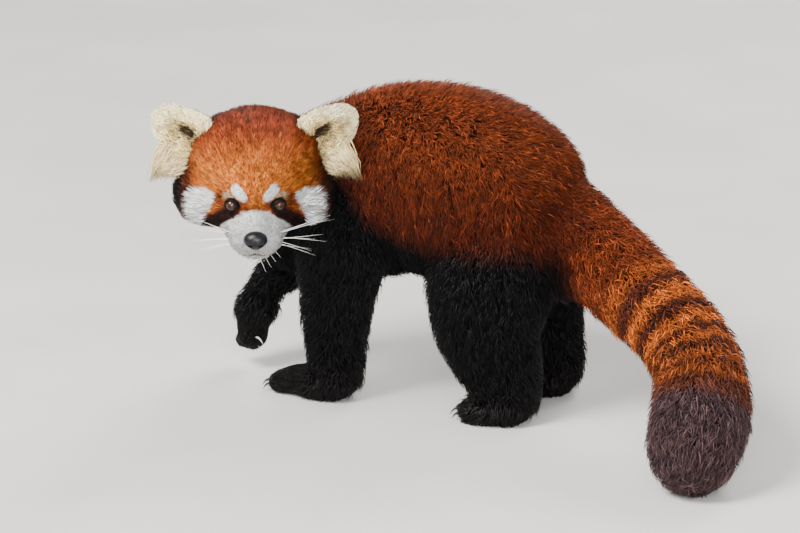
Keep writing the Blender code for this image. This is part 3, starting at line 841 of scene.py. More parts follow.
@dataclass
class Markings:
    """Gives the coat's colour at any place of the animal.

    The bands are pairs of a tail station and how dark the coat is there, from the light to the dark
    ring colour. The flank line gives, along the body, the height over which black turns to red.
    """

    anatomy: Anatomy
    bands: Pairs = (
        (0.0, 0.3), (1.5, 0.5), (2.0, 0.4), (2.35, 0.85), (2.7, 0.45), (3.0, 0.2), (3.3, 0.9),
        (3.6, 0.95), (3.95, 0.0), (4.2, 0.0), (4.45, 0.95), (4.75, 0.95), (5.0, 0.0), (5.15, 0.0),
        (5.35, 1.0), (5.5, 0.9), (5.66, 0.05), (5.9, 1.0), (6.1, 0.85), (6.25, 0.15), (6.45, 1.0),
        (6.6, 0.8), (6.78, 0.3), (7.0, 1.0), (7.3, 0.7), (7.6, 1.0),
    )
    flank_line: Pairs = (
        (-200, 242), (-140, 238), (-80, 232), (-55, 226), (-45, 217), (-35, 203), (-24, 187), (-2, 177),
        (13, 170), (40, 166), (86, 166), (122, 166), (150, 160), (164, 150), (200, 110),
    )
    root_fade: tuple[float, float] = (1.8, 3.5)
    tip_fade: tuple[float, float] = (6.9, 7.9)

    def __post_init__(self) -> None:
        """Turns the palette into linear light."""
        self.colours = {name: tone(*value) for name, value in PALETTE.__dict__.items()}

    def plain(self, name: str, count: int) -> Array:
        """One colour of the palette for a number of places."""
        return np.tile(self.colours[name], (count, 1))

    @staticmethod
    def outside(points: Array, outline: Sequence[Sequence[float]]) -> Array:
        """The distance of plane points outside a closed outline, below zero inside it.

        Args:
            points: The points.
            outline: Its corners.

        Returns:
            The distance of each.
        """
        corners = np.array(outline, float)
        inside = np.zeros(len(points), bool)
        nearest = np.full(len(points), 1e9)
        for start, end in zip(corners, np.roll(corners, -1, axis=0)):
            edge = end - start
            share = np.clip((points - start) @ edge / (edge @ edge), 0, 1)
            nearest = np.minimum(nearest, lengths(points - start - share[:, None] * edge))
            crosses = (start[1] > points[:, 1]) != (end[1] > points[:, 1])
            rise = end[1] - start[1] if end[1] != start[1] else 1e-9
            inside ^= crosses & (points[:, 0] < edge[0] * (points[:, 1] - start[1]) / rise + start[0])
        return np.where(inside, -nearest, nearest)

    @staticmethod
    def from_line(points: Array, line: Sequence[Sequence[float]]) -> Array:
        """The distance of plane points from a line between two points.

        Args:
            points: The points.
            line: Its two ends.

        Returns:
            The distance of each.
        """
        start, end = np.array(line[0], float), np.array(line[1], float)
        edge = end - start
        share = np.clip((points - start) @ edge / (edge @ edge), 0, 1)
        return lengths(points - start - share[:, None] * edge)

    @staticmethod
    def in_oval(points: Array, centre: Sequence[float], half: Sequence[float]) -> Array:
        """How far plane points are from an oval's middle, in its half sizes."""
        return lengths((points - np.array(centre)) / np.array(half))

    def head(self, pose: Array) -> Array:
        """The head's colours, laid over each other from the plain coat to the brows.

        Args:
            pose: The places in pose millimetres.

        Returns:
            A row of linear red, green and blue for each.
        """
        own = HEAD.own(pose)
        x, z = own[:, 0], own[:, 2]
        width = np.abs(own[:, 1])
        height = 0.866 * z - 0.5 * x
        plane = np.column_stack([width, height])
        front = ease(x, -24, -12)
        by_ear = 1 - ease(self.in_oval(plane, MAP.ear_base, MAP.ear_base_half), 0.5, 1.3)
        outer = 1 - ease(self.in_oval(plane, MAP.outer_eye, MAP.outer_half), 0.5, 1.3)
        tear = self.from_line(plane, MAP.tear)
        tear_edge = 1 - ease(tear, MAP.tear_edge - 2.5, MAP.tear_edge + 1)
        tear_core = 1 - ease(tear, MAP.tear_core - 1.5, MAP.tear_core + 2)
        cheek = 1 - ease(self.outside(plane, MAP.cheek), -1.2, 1.2)
        muzzle = 1 - ease(self.outside(plane, MAP.muzzle), -1.2, 1.6)
        chin = ease(-height, -MAP.chin_line, 4.0 - MAP.chin_line)
        pale = 1 - ease(self.in_oval(plane, MAP.pale_brow, MAP.pale_half), 0.7, 1.3)
        brow = 1 - ease(self.from_line(plane, MAP.brow), MAP.brow_radius - 1.2, MAP.brow_radius + 1.0)
        # Partly the coat's own dark streak, partly painted shade in the hollow between eye and muzzle
        corner_streak_and_shade = 1 - ease(self.from_line(plane, MAP.inner_corner), 1.5, 4.0)
        layers = [
            ("crown", ease(height, 2, 52)),
            ("back", ease(-x, 12, 34)),
            ("maroon", ease(width - 0.1 * height, 46, 62) * 0.9),
            ("black", ease(width, 59, 69) * (1 - ease(height, 8, 34))),
            ("black", by_ear * 0.8),
            ("black", ease(-z, 22, 38) * ease(-x, -46, -26)),
            ("stripe", outer * front * 0.75),
            ("stripe", tear_edge * front),
            ("white", cheek * front),
            ("white", muzzle * front),
            ("chin", muzzle * front * chin * 0.7),
            ("tear", tear_core * front),
            ("pale_brow", pale * front * 0.9),
            ("white", brow * front),
            ("stripe", corner_streak_and_shade * front * 0.8),
        ]
        for side in Side:
            away = lengths(own - np.array(FACE.eye_place(side)))
            layers.append(("tear", 1 - ease(away, 6.6, 8.2)))
        colour = self.plain("golden", len(pose))
        for name, share in layers:
            colour = mixed(colour, self.colours[name], share)
        return colour

    def body(self, pose: Array) -> Array:
        """The colours of the torso, the neck and the legs.

        Args:
            pose: The places in pose millimetres.

        Returns:
            A row of linear red, green and blue for each.
        """
        over = pose[:, 2] - looked_up(pose[:, 0], self.flank_line)
        colour = mixed(self.plain("flank", len(pose)), self.colours["back"], ease(over, 18, 90))
        return mixed(self.plain("black", len(pose)), colour, ease(over, -20, 14))

    def tail(self, pose: Array) -> Array:
        """The tail's rings and its dark tip.

        Args:
            pose: The places in pose millimetres.

        Returns:
            A row of linear red, green and blue for each.
        """
        station = self.anatomy.tail_station(pose)
        dark = looked_up(station, self.bands)
        colour = mixed(self.plain("ring_light", len(pose)), self.colours["ring_dark"], dark)
        colour = mixed(colour, self.colours["tail_root"], (1 - ease(station, *self.root_fade)) * 0.9)
        return mixed(colour, self.colours["tail_tip"], ease(station, *self.tip_fade))

    def colour(self, pose: Array) -> Array:
        """The coat's colour at each place, mixed where forms meet.

        Args:
            pose: The places in pose millimetres.

        Returns:
            A row of linear red, green and blue for each.
        """
        share = self.anatomy.weights(pose)
        legs = sum(share[form.name] for form in LEGS)
        paws = sum(share[form.name] for form in PAWS)
        colour = self.body(pose)
        colour = mixed(colour, self.colours["black"], legs * (1 - ease(pose[:, 2], 138, 170)))
        colour = mixed(colour, self.colours["paw"], np.maximum(paws, 1 - ease(pose[:, 2], 16, 46)))
        colour = mixed(colour, self.tail(pose), share["tail"])
        return mixed(colour, self.head(pose), ease(share["head"], 0.2, 0.8))


# The finishes


class NodeGraph:
    """A new material whose nodes are added and joined in one line each."""

    def __init__(self, name: str, shader: dict[str, float]) -> None:
        """Makes the material and sets its shader's inputs by their names.

        Args:
            name: The material's name.
            shader: Values of the shader's inputs by their names.
        """
        self.material = bpy.data.materials.new(name)
        self.material.use_nodes = True
        self.shader = self.material.node_tree.nodes["Principled BSDF"]
        for label, value in shader.items():
            self.shader.inputs[label].default_value = value
        self.place = self.add("TexCoord")

    def add(self, kind: str, **inputs: float) -> bpy.types.Node:
        """Adds a node.

        Args:
            kind: Blender's name of the node.
            **inputs: Values of its inputs, with _ in their names for a blank.

        Returns:
            The node.
        """
        node = self.material.node_tree.nodes.new("ShaderNode" + kind)
        for label, value in inputs.items():
            node.inputs[label.replace("_", " ")].default_value = value
        return node

    def link(self, output: Socket, target: Socket) -> None:
        """Joins two sockets."""
        self.material.node_tree.links.new(output, target)

    def attribute(self, name: str) -> bpy.types.Node:
        """A node that reads a mesh attribute.

        Args:
            name: Its name.

        Returns:
            The node.
        """
        node = self.add("Attribute")
        node.attribute_name = name
        return node

    def texture(self, kind: str, scale: float) -> bpy.types.Node:
        """A texture on the object's own coordinates.

        Args:
            kind: Blender's name of the node.
            scale: Its scale.

        Returns:
            The node.
        """
        node = self.add(kind, Scale=scale)
        self.link(self.place.outputs["Object"], node.inputs["Vector"])
        return node

    def ramp(self, stops: Sequence[tuple[float, Triple]]) -> bpy.types.Node:
        """A colour ramp, joined to the shader's colour.

        Args:
            stops: Its positions, each with a colour of 0 to 255 a channel.

        Returns:
            The ramp's node.
        """
        node = self.add("ValToRGB")
        elements = node.color_ramp.elements
        while len(elements) < len(stops):
            elements.new(0.5)
        for element, (position, colour) in zip(elements, stops):
            element.position = position
            element.color = (*tone(*colour), 1.0)
        self.link(node.outputs["Color"], self.shader.inputs["Base Color"])
        return node

    def relief(self, height: Socket, strength: float, distance: float) -> None:
        """Raises the surface by a height.

        Args:
            height: What gives the height.
            strength: Its strength.
            distance: Its height in metres.
        """
        bump = self.add("Bump", Strength=strength, Distance=distance)
        self.link(height, bump.inputs["Height"])
        self.link(bump.outputs["Normal"], self.shader.inputs["Normal"])


@dataclass(frozen=True)
class CoatFinish:
    """Hair or furred skin that takes its colour from the markings."""

    name: str
    roughness: float = 0.6
    specular: float = 0.12
    grain: float = 900.0
    variation: float = 0.22
    bump: float = 0.0
    bump_distance: float = 0.001

    def material(self) -> bpy.types.Material:
        """Builds the node material.

        Returns:
            The material.
        """
        graph = NodeGraph(self.name, {"Roughness": self.roughness, "Specular IOR Level": self.specular})
        noise = graph.texture("TexNoise", self.grain).outputs["Fac"]
        low, high = 1.0 - self.variation, 1.0 + self.variation
        spread = graph.add("MapRange", From_Min=0.3, From_Max=0.7, To_Min=low, To_Max=high)
        shade = graph.add("VectorMath")
        shade.operation = "SCALE"
        graph.link(noise, spread.inputs["Value"])
        graph.link(graph.attribute("markings").outputs["Color"], shade.inputs[0])
        graph.link(spread.outputs["Result"], shade.inputs["Scale"])
        graph.link(shade.outputs["Vector"], graph.shader.inputs["Base Color"])
        if self.bump:
            graph.relief(noise, self.bump, self.bump_distance)
        return graph.material


@dataclass(frozen=True)
class SolidFinish:
    """Bare skin, horn or the floor: two tones mixed by noise, with fine relief."""

    name: str
    light: Triple
    dark: Triple
    roughness: float
    specular: float = 0.5
    scale: float = 400.0
    bump: float = 0.2
    bump_distance: float = 0.0006
    pebbled: bool = False

    def material(self) -> bpy.types.Material:
        """Builds the node material.

        Returns:
            The material.
        """
        graph = NodeGraph(self.name, {"Roughness": self.roughness, "Specular IOR Level": self.specular})
        height = graph.texture("TexNoise", self.scale).outputs["Fac"]
        ramp = graph.ramp(((0.35, self.dark), (0.65, self.light)))
        graph.link(height, ramp.inputs["Fac"])
        if self.pebbled:
            height = graph.texture("TexVoronoi", self.scale * 3.0).outputs["Distance"]
        graph.relief(height, self.bump, self.bump_distance)
        return graph.material


@dataclass(frozen=True)
class EyeFinish:
    """A polished eye: pupil, streaked brown iris and dark rim, by the angle from where it looks."""

    name: str = "eye_gloss"
    roughness: float = 0.3
    specular: float = 0.1
    polish: float = 0.5
    polish_roughness: float = 0.03
    streak_scale: float = 1400.0
    wobble: float = 0.05
    stops: tuple[tuple[float, Triple], ...] = (
        (0.0, (6, 5, 5)),
        (0.2, (6, 5, 5)),
        (0.25, (62, 27, 11)),
        (0.5, (62, 27, 11)),
        (0.66, (26, 12, 8)),
        (0.75, (20, 13, 11)),
    )

    def material(self) -> bpy.types.Material:
        """Builds the node material.

        Returns:
            The material.
        """
        shader = {"Roughness": self.roughness, "Specular IOR Level": self.specular}
        shader |= {"Coat Weight": self.polish, "Coat Roughness": self.polish_roughness}
        graph = NodeGraph(self.name, shader)
        streaks = graph.texture("TexNoise", self.streak_scale)
        wobble = graph.add("MapRange", To_Min=-self.wobble, To_Max=self.wobble)
        total = graph.add("Math")
        total.operation = "ADD"
        graph.link(streaks.outputs["Fac"], wobble.inputs["Value"])
        graph.link(graph.attribute("gaze_angle").outputs["Fac"], total.inputs[0])
        graph.link(wobble.outputs["Result"], total.inputs[1])
        graph.link(total.outputs["Value"], graph.ramp(self.stops).inputs["Fac"])
        return graph.material


@dataclass(frozen=True)
class Finishes:
    """All finishes of the scene."""

    skin: CoatFinish = CoatFinish("furred_skin", roughness=0.8, specular=0.15, grain=700.0, bump=0.6)
    red: CoatFinish = CoatFinish("red_hair", roughness=0.55, specular=0.12)
    black: CoatFinish = CoatFinish("black_hair", roughness=0.42, specular=0.16)
    pale: CoatFinish = CoatFinish("pale_hair", roughness=0.6, specular=0.12, variation=0.1)
    nose: SolidFinish = SolidFinish(
        "nose_leather", (17, 17, 21), (7, 7, 9), 0.34, specular=0.3, pebbled=True
    )
    lid: SolidFinish = SolidFinish("lid_skin", (8, 6, 6), (3, 3, 3), 0.55, specular=0.12)
    claw: SolidFinish = SolidFinish("claw_horn", (190, 188, 182), (140, 136, 128), 0.35, scale=250.0)
    dark_claw: SolidFinish = SolidFinish("dark_claw_horn", (58, 52, 48), (28, 25, 24), 0.35, scale=250.0)
    whisker: SolidFinish = SolidFinish("whisker_hair", (250, 248, 244), (226, 222, 214), 0.4, bump=0.0)
    floor: SolidFinish = SolidFinish(
        "pale_floor", (200, 198, 194), (194, 192, 188), 0.75, specular=0.2, scale=6.0, bump=0.02
    )
    eye: EyeFinish = EyeFinish()


FINISHES = Finishes()


def dress(piece: Piece, material: bpy.types.Material, slot: Slot, *nodes: str) -> None:
    """Finishes a piece and enters it in the frame.

    Args:
        piece: The finished mesh.
        material: What it is made of.
        slot: The record's slot; not used.
        *nodes: The CAD nodes that it stands for.
    """
    piece.data.materials.clear()
    piece.data.materials.append(material)
    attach(piece, "root")
    if nodes:
        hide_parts(*nodes)
    piece.data.calc_loop_triangles()
    LOG.info("%-22s %7d triangles", piece.name, len(piece.data.loop_triangles))


# The skin


@dataclass
class Skin:
    """One closed surface under the whole coat, from the same sections as the solids."""

    markings: Markings
    voxel: float = 2.3
    smooth_times: int = 26
    dome_angles: tuple[float, ...] = (30, 55, 75)
    dome_depth: float = 0.9
    row_steps: int = 3
    tail_rest_inset: float = 8.0
    socket_gap: float = 0.3
    # The skin's colour is darkened by this share: painted shade under the coat, so that the gaps between
    # hairs look dark
    shade: float = 0.4
    piece: Piece | None = None

    def domed(self, rows: Array) -> Array:
        """Rows with a dome of three more at each end.

        Args:
            rows: The rows.

        Returns:
            The rows with both domes.
        """
        ends = []
        for end, inner in ((rows[0], rows[1]), (rows[-1], rows[-2])):
            out = (end[:3] - inner[:3]) / np.linalg.norm(end[:3] - inner[:3])
            depth = min(end[3], end[4]) * self.dome_depth
            dome = []
            for angle in np.radians(self.dome_angles):
                place = end[:3] + out * depth * math.sin(angle)
                dome.append([*place, end[3] * math.cos(angle), end[4] * math.cos(angle)])
            ends.append(dome)
        return np.vstack([ends[0][::-1], rows, ends[1]])

    def ring_matrix(self, rows: Array, index: int, side: Vector) -> Matrix:
        """The placing of one oval ring of a loft, from a unit circle.

        Args:
            rows: The form's rows.
            index: Which row.
            side: What its first half width points to.

        Returns:
            The matrix of the placing.
        """
        ahead = Vector(rows[min(index + 1, len(rows) - 1), :3])
        behind = Vector(rows[max(index - 1, 0), :3])
        along = (ahead - behind).normalized()
        across = (side - along * along.dot(side)).normalized()
        other = along.cross(across)
        turn = Matrix((across, other, along)).transposed().to_4x4()
        centre = Matrix.Translation(Vector(to_frame(rows[index, :3])))
        size = Matrix.Diagonal((rows[index, 3] * MM, rows[index, 4] * MM, MM, 1.0))
        return centre @ turn @ size

    def loft(self, form: Form) -> Piece:
        """One form as a closed tube, its ring extruded from station to station.

        Args:
            form: The form to build, under its coat.

        Returns:
            The closed tube.
        """
        rows = form.rows(self.row_steps)
        rows[:, 3:] -= form.inset()
        rows = self.domed(rows)
        side = Vector(form.side)
        deselect()
        bpy.ops.mesh.primitive_circle_add(vertices=form.sides, radius=1.0, location=(0, 0, 0))
        piece = bpy.context.object
        piece.name = form.name + "_form"
        bpy.ops.object.mode_set(mode="EDIT")
        mesh = bmesh.from_edit_mesh(piece.data)
        before = self.ring_matrix(rows, 0, side)
        bmesh.ops.transform(mesh, matrix=before, verts=mesh.verts)
        first = [vert.index for vert in mesh.verts]
        for index in range(1, len(rows)):
            bpy.ops.mesh.extrude_edges_indiv()
            after = self.ring_matrix(rows, index, side)
            mesh = bmesh.from_edit_mesh(piece.data)
            picked = [vert for vert in mesh.verts if vert.select]
            bmesh.ops.transform(mesh, matrix=after @ before.inverted(), verts=picked)
            before = after
        bpy.ops.mesh.edge_face_add()
        bpy.ops.mesh.select_all(action="DESELECT")
        mesh = bmesh.from_edit_mesh(piece.data)
        mesh.verts.ensure_lookup_table()
        for index in first:
            mesh.verts[index].select = True
        mesh.select_flush(True)
        bpy.ops.mesh.edge_face_add()
        bpy.ops.mesh.select_all(action="SELECT")
        bpy.ops.mesh.normals_make_consistent(inside=False)
        bpy.ops.object.mode_set(mode="OBJECT")
        return piece

    def rounds(self) -> list[Piece]:
        """The balls of the head and the toes, and the end of the tail.

        Returns:
            The balls.
        """
        made = []
        for index, (centre, radii, coat) in enumerate(FACE.balls):
            inset = COAT_DEPTH[coat] * CORE_SHARE + SKIN_UNDER
            inner = [r - inset for r in radii]
            made.append(ball(f"head_ball_{index}", HEAD.place(centre), inner, HEAD.axes()))
        for index, toe in enumerate(TOES.all()):
            turn = Matrix.Rotation(toe.turn, 3, "Z")
            radii = [r - SKIN_UNDER for r in toe.radii]
            made.append(ball(f"toe_{index}", Vector(to_frame(toe.centre)), radii, turn, 16))
        centre, radii = TAIL_REST
        inner = [r - self.tail_rest_inset for r in radii]
        made.append(ball("tail_rest", Vector(to_frame(centre)), inner, Matrix.Identity(3)))
        return made

    def sockets(self, piece: Piece) -> None:
        """Sinks a socket for each eye.

        Args:
            piece: The object to work on.
        """
        for side in Side:
            radius = FACE.eye_radius + self.socket_gap
            place = HEAD.place(FACE.eye_place(side))
            socket = ball("socket", place, [radius] * 3, FACE.eye_turn(side, HEAD), 32)
            apply_modifier(piece, "BOOLEAN", object=socket, operation="DIFFERENCE", solver="MANIFOLD")
            bpy.data.objects.remove(socket)

    def cut_floor(self, piece: Piece) -> None:
        """Cuts the soles flat just over the floor.

        Args:
            piece: The object to work on.
        """
        choose(piece)
        bpy.ops.object.mode_set(mode="EDIT")
        bpy.ops.mesh.select_all(action="SELECT")
        bpy.ops.mesh.bisect(
            plane_co=(0, 0, FLOOR_CLEAR * MM), plane_no=(0, 0, -1), use_fill=True, clear_outer=True
        )
        bpy.ops.object.mode_set(mode="OBJECT")

    def build(self) -> Piece:
        """Builds, fuses and colours the skin.

        Returns:
            The finished piece.
        """
        parts = [self.loft(form) for form in FORMS]
        piece = joined("skin", parts + self.rounds())
        apply_modifier(piece, "REMESH", mode="VOXEL", voxel_size=self.voxel * MM)
        apply_modifier(piece, "SMOOTH", factor=0.5, iterations=self.smooth_times)
        self.cut_floor(piece)
        self.sockets(piece)
        apply_modifier(piece, "TRIANGULATE")
        smooth_shaded(piece)
        colours = self.markings.colour(to_pose(coordinates(piece)))
        # Painted shade: the skin under the coat is darkened
        colour_attribute(piece.data, colours * self.shade)
        dress(piece, FINISHES.skin.material(), Slot.RED, *FLESH_NODES)
        self.piece = piece
        return piece


# The coat


@dataclass
class Strands:
    """Many hairs: their roots and how each lies, in metres, and which of them have a bend."""

    root: Array
    normal: Array
    way: Array
    length: Array
    depth: Array
    width: Array
    bent: Array

    def part(self, keep: Array) -> "Strands":
        """Only some of the hairs."""
        return Strands(*(getattr(self, name)[keep] for name in self.__dataclass_fields__))


class Surface:
    """A mesh that hair grows from, with fields on its vertices."""

    def __init__(self, piece: Piece) -> None:
        """Reads the triangles of a piece.

        Args:
            piece: The object to work on.
        """
        mesh = piece.data
        mesh.calc_loop_triangles()
        self.points = coordinates(piece)
        normals = np.empty(len(mesh.vertices) * 3, np.float32)
        mesh.vertex_normals.foreach_get("vector", normals)
        self.normals = normals.reshape(-1, 3).astype(float)
        faces = np.empty(len(mesh.loop_triangles) * 3, np.int32)
        mesh.loop_triangles.foreach_get("vertices", faces)
        self.faces = faces.reshape(-1, 3)
        edges = np.empty(len(mesh.edges) * 2, np.int32)
        mesh.edges.foreach_get("vertices", edges)
        self.edges = edges.reshape(-1, 2)
        self.tree = BVHTree.FromPolygons(self.points.tolist(), self.faces.tolist())

    def diffused(self, field: Array, times: int) -> Array:
        """A field on the vertices, evened out with its neighbours a number of times.

        Args:
            field: The values on the vertices.
            times: How many times.

        Returns:
            The evened field.
        """
        field = field.reshape(len(field), -1).copy()
        start, end = self.edges.T
        count = np.bincount(start, minlength=len(field)) + np.bincount(end, minlength=len(field))
        for _ in range(times):
            total = np.zeros_like(field)
            for column in range(field.shape[1]):
                total[:, column] = np.bincount(start, field[end, column], len(field))
                total[:, column] += np.bincount(end, field[start, column], len(field))
            field = 0.5 * field + 0.5 * total / np.maximum(count, 1)[:, None]
        return field

    def sample(self, density: Array, draw: np.random.Generator) -> tuple[Array, Array]:
        """Random places, as many for each area as its density asks.

        Args:
            density: Places for each square millimetre, on the vertices.
            draw: The source of random numbers.

        Returns:
            The triangle of each place, and its three shares of the corners.
        """
        a, b, c = (self.points[self.faces[:, k]] for k in range(3))
        area = 0.5 * lengths(np.cross(b - a, c - a)) / (MM * MM)
        wanted = np.cumsum(area * density[self.faces].mean(axis=1))
        count = int(wanted[-1])
        picks = (np.arange(count) + draw.random(count)) / count * wanted[-1]
        face = np.minimum(np.searchsorted(wanted, picks), len(self.faces) - 1)
        u, v = draw.random((2, count))
        flip = u + v > 1
        u[flip], v[flip] = 1 - u[flip], 1 - v[flip]
        return face, np.column_stack([1 - u - v, u, v])

    def at(self, field: Array, face: Array, shares: Array) -> Array:
        """A vertex field at places on the faces.

        Args:
            field: The values on the vertices.
            face: The triangle of each place.
            shares: Its three shares of the corners.

        Returns:
            The value at each place.
        """
        corners = field[self.faces[face]]
        if corners.ndim == 2:
            return (corners * shares).sum(axis=1)
        return (corners * shares[:, :, None]).sum(axis=1)

    def project(self, places: Array) -> tuple[Array, Array]:
        """The nearest points of the surface, and its normals there.

        Args:
            places: The places in metres.

        Returns:
            The points and their normals.
        """
        found = [self.tree.find_nearest(place) for place in places.tolist()]
        points = np.array([tuple(hit[0]) for hit in found])
        normals = np.array([tuple(hit[1]) for hit in found])
        return points, normals


@dataclass(frozen=True)
class HairStyle:
    """How one kind of hair is shaped: clumps, spread and lift, and its tones, with painted shade towards
    the roots and a painted highlight at the tips.
    """

    clump: float = 4.4
    gather: float = 0.35
    spread: float = 0.42
    clump_spread: float = 0.3
    height_low: float = 0.55
    height_high: float = 1.08
    # Colour steps from root to tip: partly the hairs' own darker bases and paler tips, partly painted shade
    # in the gaps between clumps and a painted highlight at the tips
    root_shade: float = 0.2
    middle_shade: float = 0.75
    tip_shade: float = 1.5
    jitter: float = 0.28
    clump_jitter: float = 0.24
    stray: float = 0.12
    dark_share: float = 0.2
    dark_shade: float = 0.4


@dataclass
class Coat:
    """Grows hair from a surface, as closed tapered tufts that lie along it."""

    surface: Surface
    colour: Callable[[Array], Array]
    seed: int
    bent_reach: float = 1.5
    bend_height: float = 0.78
    most_triangles: int = 180000
    patch: float = 0.003
    pale: float = 0.3
    brightest: float = 0.93
    root_sink: float = 0.0004

    def __post_init__(self) -> None:
        """Starts the source of random numbers."""
        self.draw = np.random.default_rng(self.seed)

    def clumps(self, strands: Strands, style: HairStyle) -> Array:
        """The strand that each strand's tip is drawn to.

        Args:
            strands: The strands.
            style: How they are shaped.

        Returns:
            Each strand's leader.
        """
        count = len(strands.root)
        order = self.draw.permutation(count)
        cell = np.floor(strands.root / (style.clump * MM)).astype(np.int64)
        key = (cell[:, 0] * 73856093) ^ (cell[:, 1] * 19349663) ^ (cell[:, 2] * 83492791)
        _, first = np.unique(key[order], return_index=True)
        leaders = order[first]
        tree = KDTree(len(leaders))
        for index, leader in enumerate(leaders):
            tree.insert(strands.root[leader], index)
        tree.balance()
        shift = self.draw.normal(0, 0.25 * style.clump * MM, strands.root.shape)
        near = [tree.find(place)[1] for place in (strands.root + shift).tolist()]
        return leaders[np.array(near)]

    def curves(self, strands: Strands, style: HairStyle) -> tuple[Array, ...]:
        """The middle and the tip of each strand, the surface's normals there, and the clump leaders.

        Args:
            strands: The strands.
            style: How they are shaped.

        Returns:
            The five arrays, in that order.
        """
        draw = self.draw
        count = len(strands.root)
        leader = self.clumps(strands, style)
        own = draw.normal(0, style.spread, count)
        shared = draw.normal(0, style.clump_spread, count)[leader]
        side = np.cross(strands.normal, strands.way)
        way = unit(strands.way + side * (own + shared)[:, None])
        reach = strands.length * np.where(strands.bent, self.bent_reach, 1.0)
        tip, tip_up = self.surface.project(strands.root + way * reach[:, None])
        high = draw.uniform(style.height_low, style.height_high, count)
        high *= 1 + 0.12 * draw.normal(0, 1, count)[leader].clip(-1.5, 1.0)
        lift = strands.depth * high
        tip = tip + tip_up * lift[:, None]
        pull = tip[leader] + (strands.root - strands.root[leader]) * 0.25
        near = lengths(pull - tip) < strands.depth + reach * 0.5
        gather = np.where(near, style.gather * draw.uniform(0.4, 1.3, count), 0.0)
        tip = tip + (pull - tip) * gather[:, None]
        middle, middle_up = (strands.root + tip) * 0.5, strands.normal.copy()
        bent = strands.bent
        if bent.any():
            halfway = strands.root[bent] + (tip[bent] - strands.root[bent]) * 0.5
            on_skin, up = self.surface.project(halfway)
            middle[bent] = on_skin + up * (lift[bent] * self.bend_height)[:, None]
            middle_up[bent] = up
        return middle, tip, middle_up, tip_up, leader

    def blocked(self, places: Array, stops: Sequence[tuple[Vector, float]]) -> Array:
        """Which places lie inside balls that hair keeps out of.

        Args:
            places: The places in metres.
            stops: The balls, each a middle and a radius in millimetres.

        Returns:
            Whether each is inside one.
        """
        found = np.zeros(len(places), bool)
        for centre, radius in stops:
            found |= lengths(places - np.array(centre)) < radius * MM
        return found

    def shades(self, strands: Strands, tip: Array, leader: Array, style: HairStyle) -> Array:
        """Colours at each strand's root, middle and tip: the coat's own tone, with painted shade towards
        the root and a painted highlight at the tip.

        Args:
            strands: The strands.
            tip: Their tips.
            leader: The strand that each belongs with.
            style: How they are shaped.

        Returns:
            Three colours for each strand.
        """
        draw = self.draw
        count = len(tip)
        stray = draw.normal(0, style.stray, (count, 3)) * strands.length[:, None]
        light = draw.normal(0, style.jitter, count)
        light = np.exp(light + draw.normal(0, style.clump_jitter, count)[leader])
        warm = draw.normal(0, 0.06, count)
        hue = np.column_stack([1 + warm, np.ones(count), 1 - warm]) * light[:, None]
        base = self.colour(to_pose(strands.root * 0.25 + tip * 0.75 + stray))
        dark = (draw.random(count) < style.dark_share) & (base[:, 2] < self.pale)
        base = base * hue * np.where(dark, style.dark_shade, 1.0)[:, None]
        # Darker roots and lighter tips: partly the hairs' own tone, partly painted shade in the gaps
        # between clumps and a painted highlight of light through the tips
        steps = (style.root_shade, style.middle_shade, style.tip_shade)
        return np.clip(np.stack([base * step for step in steps], axis=1), 0.0, self.brightest)

    def mesh(
        self, name: str, rings: list[Array], tip: Array, colours: list[Array], places: Array
    ) -> Piece:
        """Builds closed three-sided tufts from their rings and tips.

        Args:
            name: The name of the piece.
            rings: For each level from the root, three corners of every strand.
            tip: The tips.
            colours: A colour for each level and for the tip.
            places: Where each tuft's patch lies on the skin's unwrap.

        Returns:
            The piece, its faces outwards.
        """
        count = len(tip)
        levels = len(rings)
        per = 3 * levels + 1
        points = np.concatenate([*rings, tip[:, None, :]], axis=1).reshape(-1, 3)
        points[:, 2] = np.maximum(points[:, 2], FLOOR_CLEAR * MM)
        faces = [(0, 2, 1)]
        for level in range(levels - 1):
            low, high = 3 * level, 3 * level + 3
            for k in range(3):
                far = (k + 1) % 3
                faces += [(low + k, low + far, high + far), (low + k, high + far, high + k)]
        last = 3 * (levels - 1)
        faces += [(last + k, last + (k + 1) % 3, per - 1) for k in range(3)]
        pattern = np.array(faces, np.int64)
        corners = (np.arange(count)[:, None, None] * per + pattern[None]).reshape(-1)
        mesh = bpy.data.meshes.new(name)
        mesh.vertices.add(len(points))
        mesh.vertices.foreach_set("co", points.reshape(-1).astype(np.float32))
        mesh.loops.add(len(corners))
        mesh.loops.foreach_set("vertex_index", corners.astype(np.int32))
        mesh.polygons.add(len(corners) // 3)
        mesh.polygons.foreach_set("loop_start", np.arange(0, len(corners), 3, dtype=np.int32))
        mesh.polygons.foreach_set("use_smooth", np.ones(len(corners) // 3, bool))
        mesh.update(calc_edges=True)
        paint = [np.repeat(level[:, None, :], 3, axis=1) for level in colours[:-1]]
        paint = np.concatenate(paint + [colours[-1][:, None, :]], axis=1)
        colour_attribute(mesh, paint.reshape(-1, 3))
        half = self.patch / 2
        spots = [(x * half, (2 * level / levels - 1) * half) for level in range(levels) for x in (-1, 1, 0)]
        offsets = np.array(spots + [(0.0, half)])
        spots = (places[:, None, :] + offsets[None]).reshape(-1, 2)
        layer = mesh.uv_layers.new(name="OFBake")
        layer.data.foreach_set("uv", spots[corners].reshape(-1).astype(np.float32))
        piece = bpy.data.objects.new(name, mesh)
        bpy.context.scene.collection.objects.link(piece)
        return piece

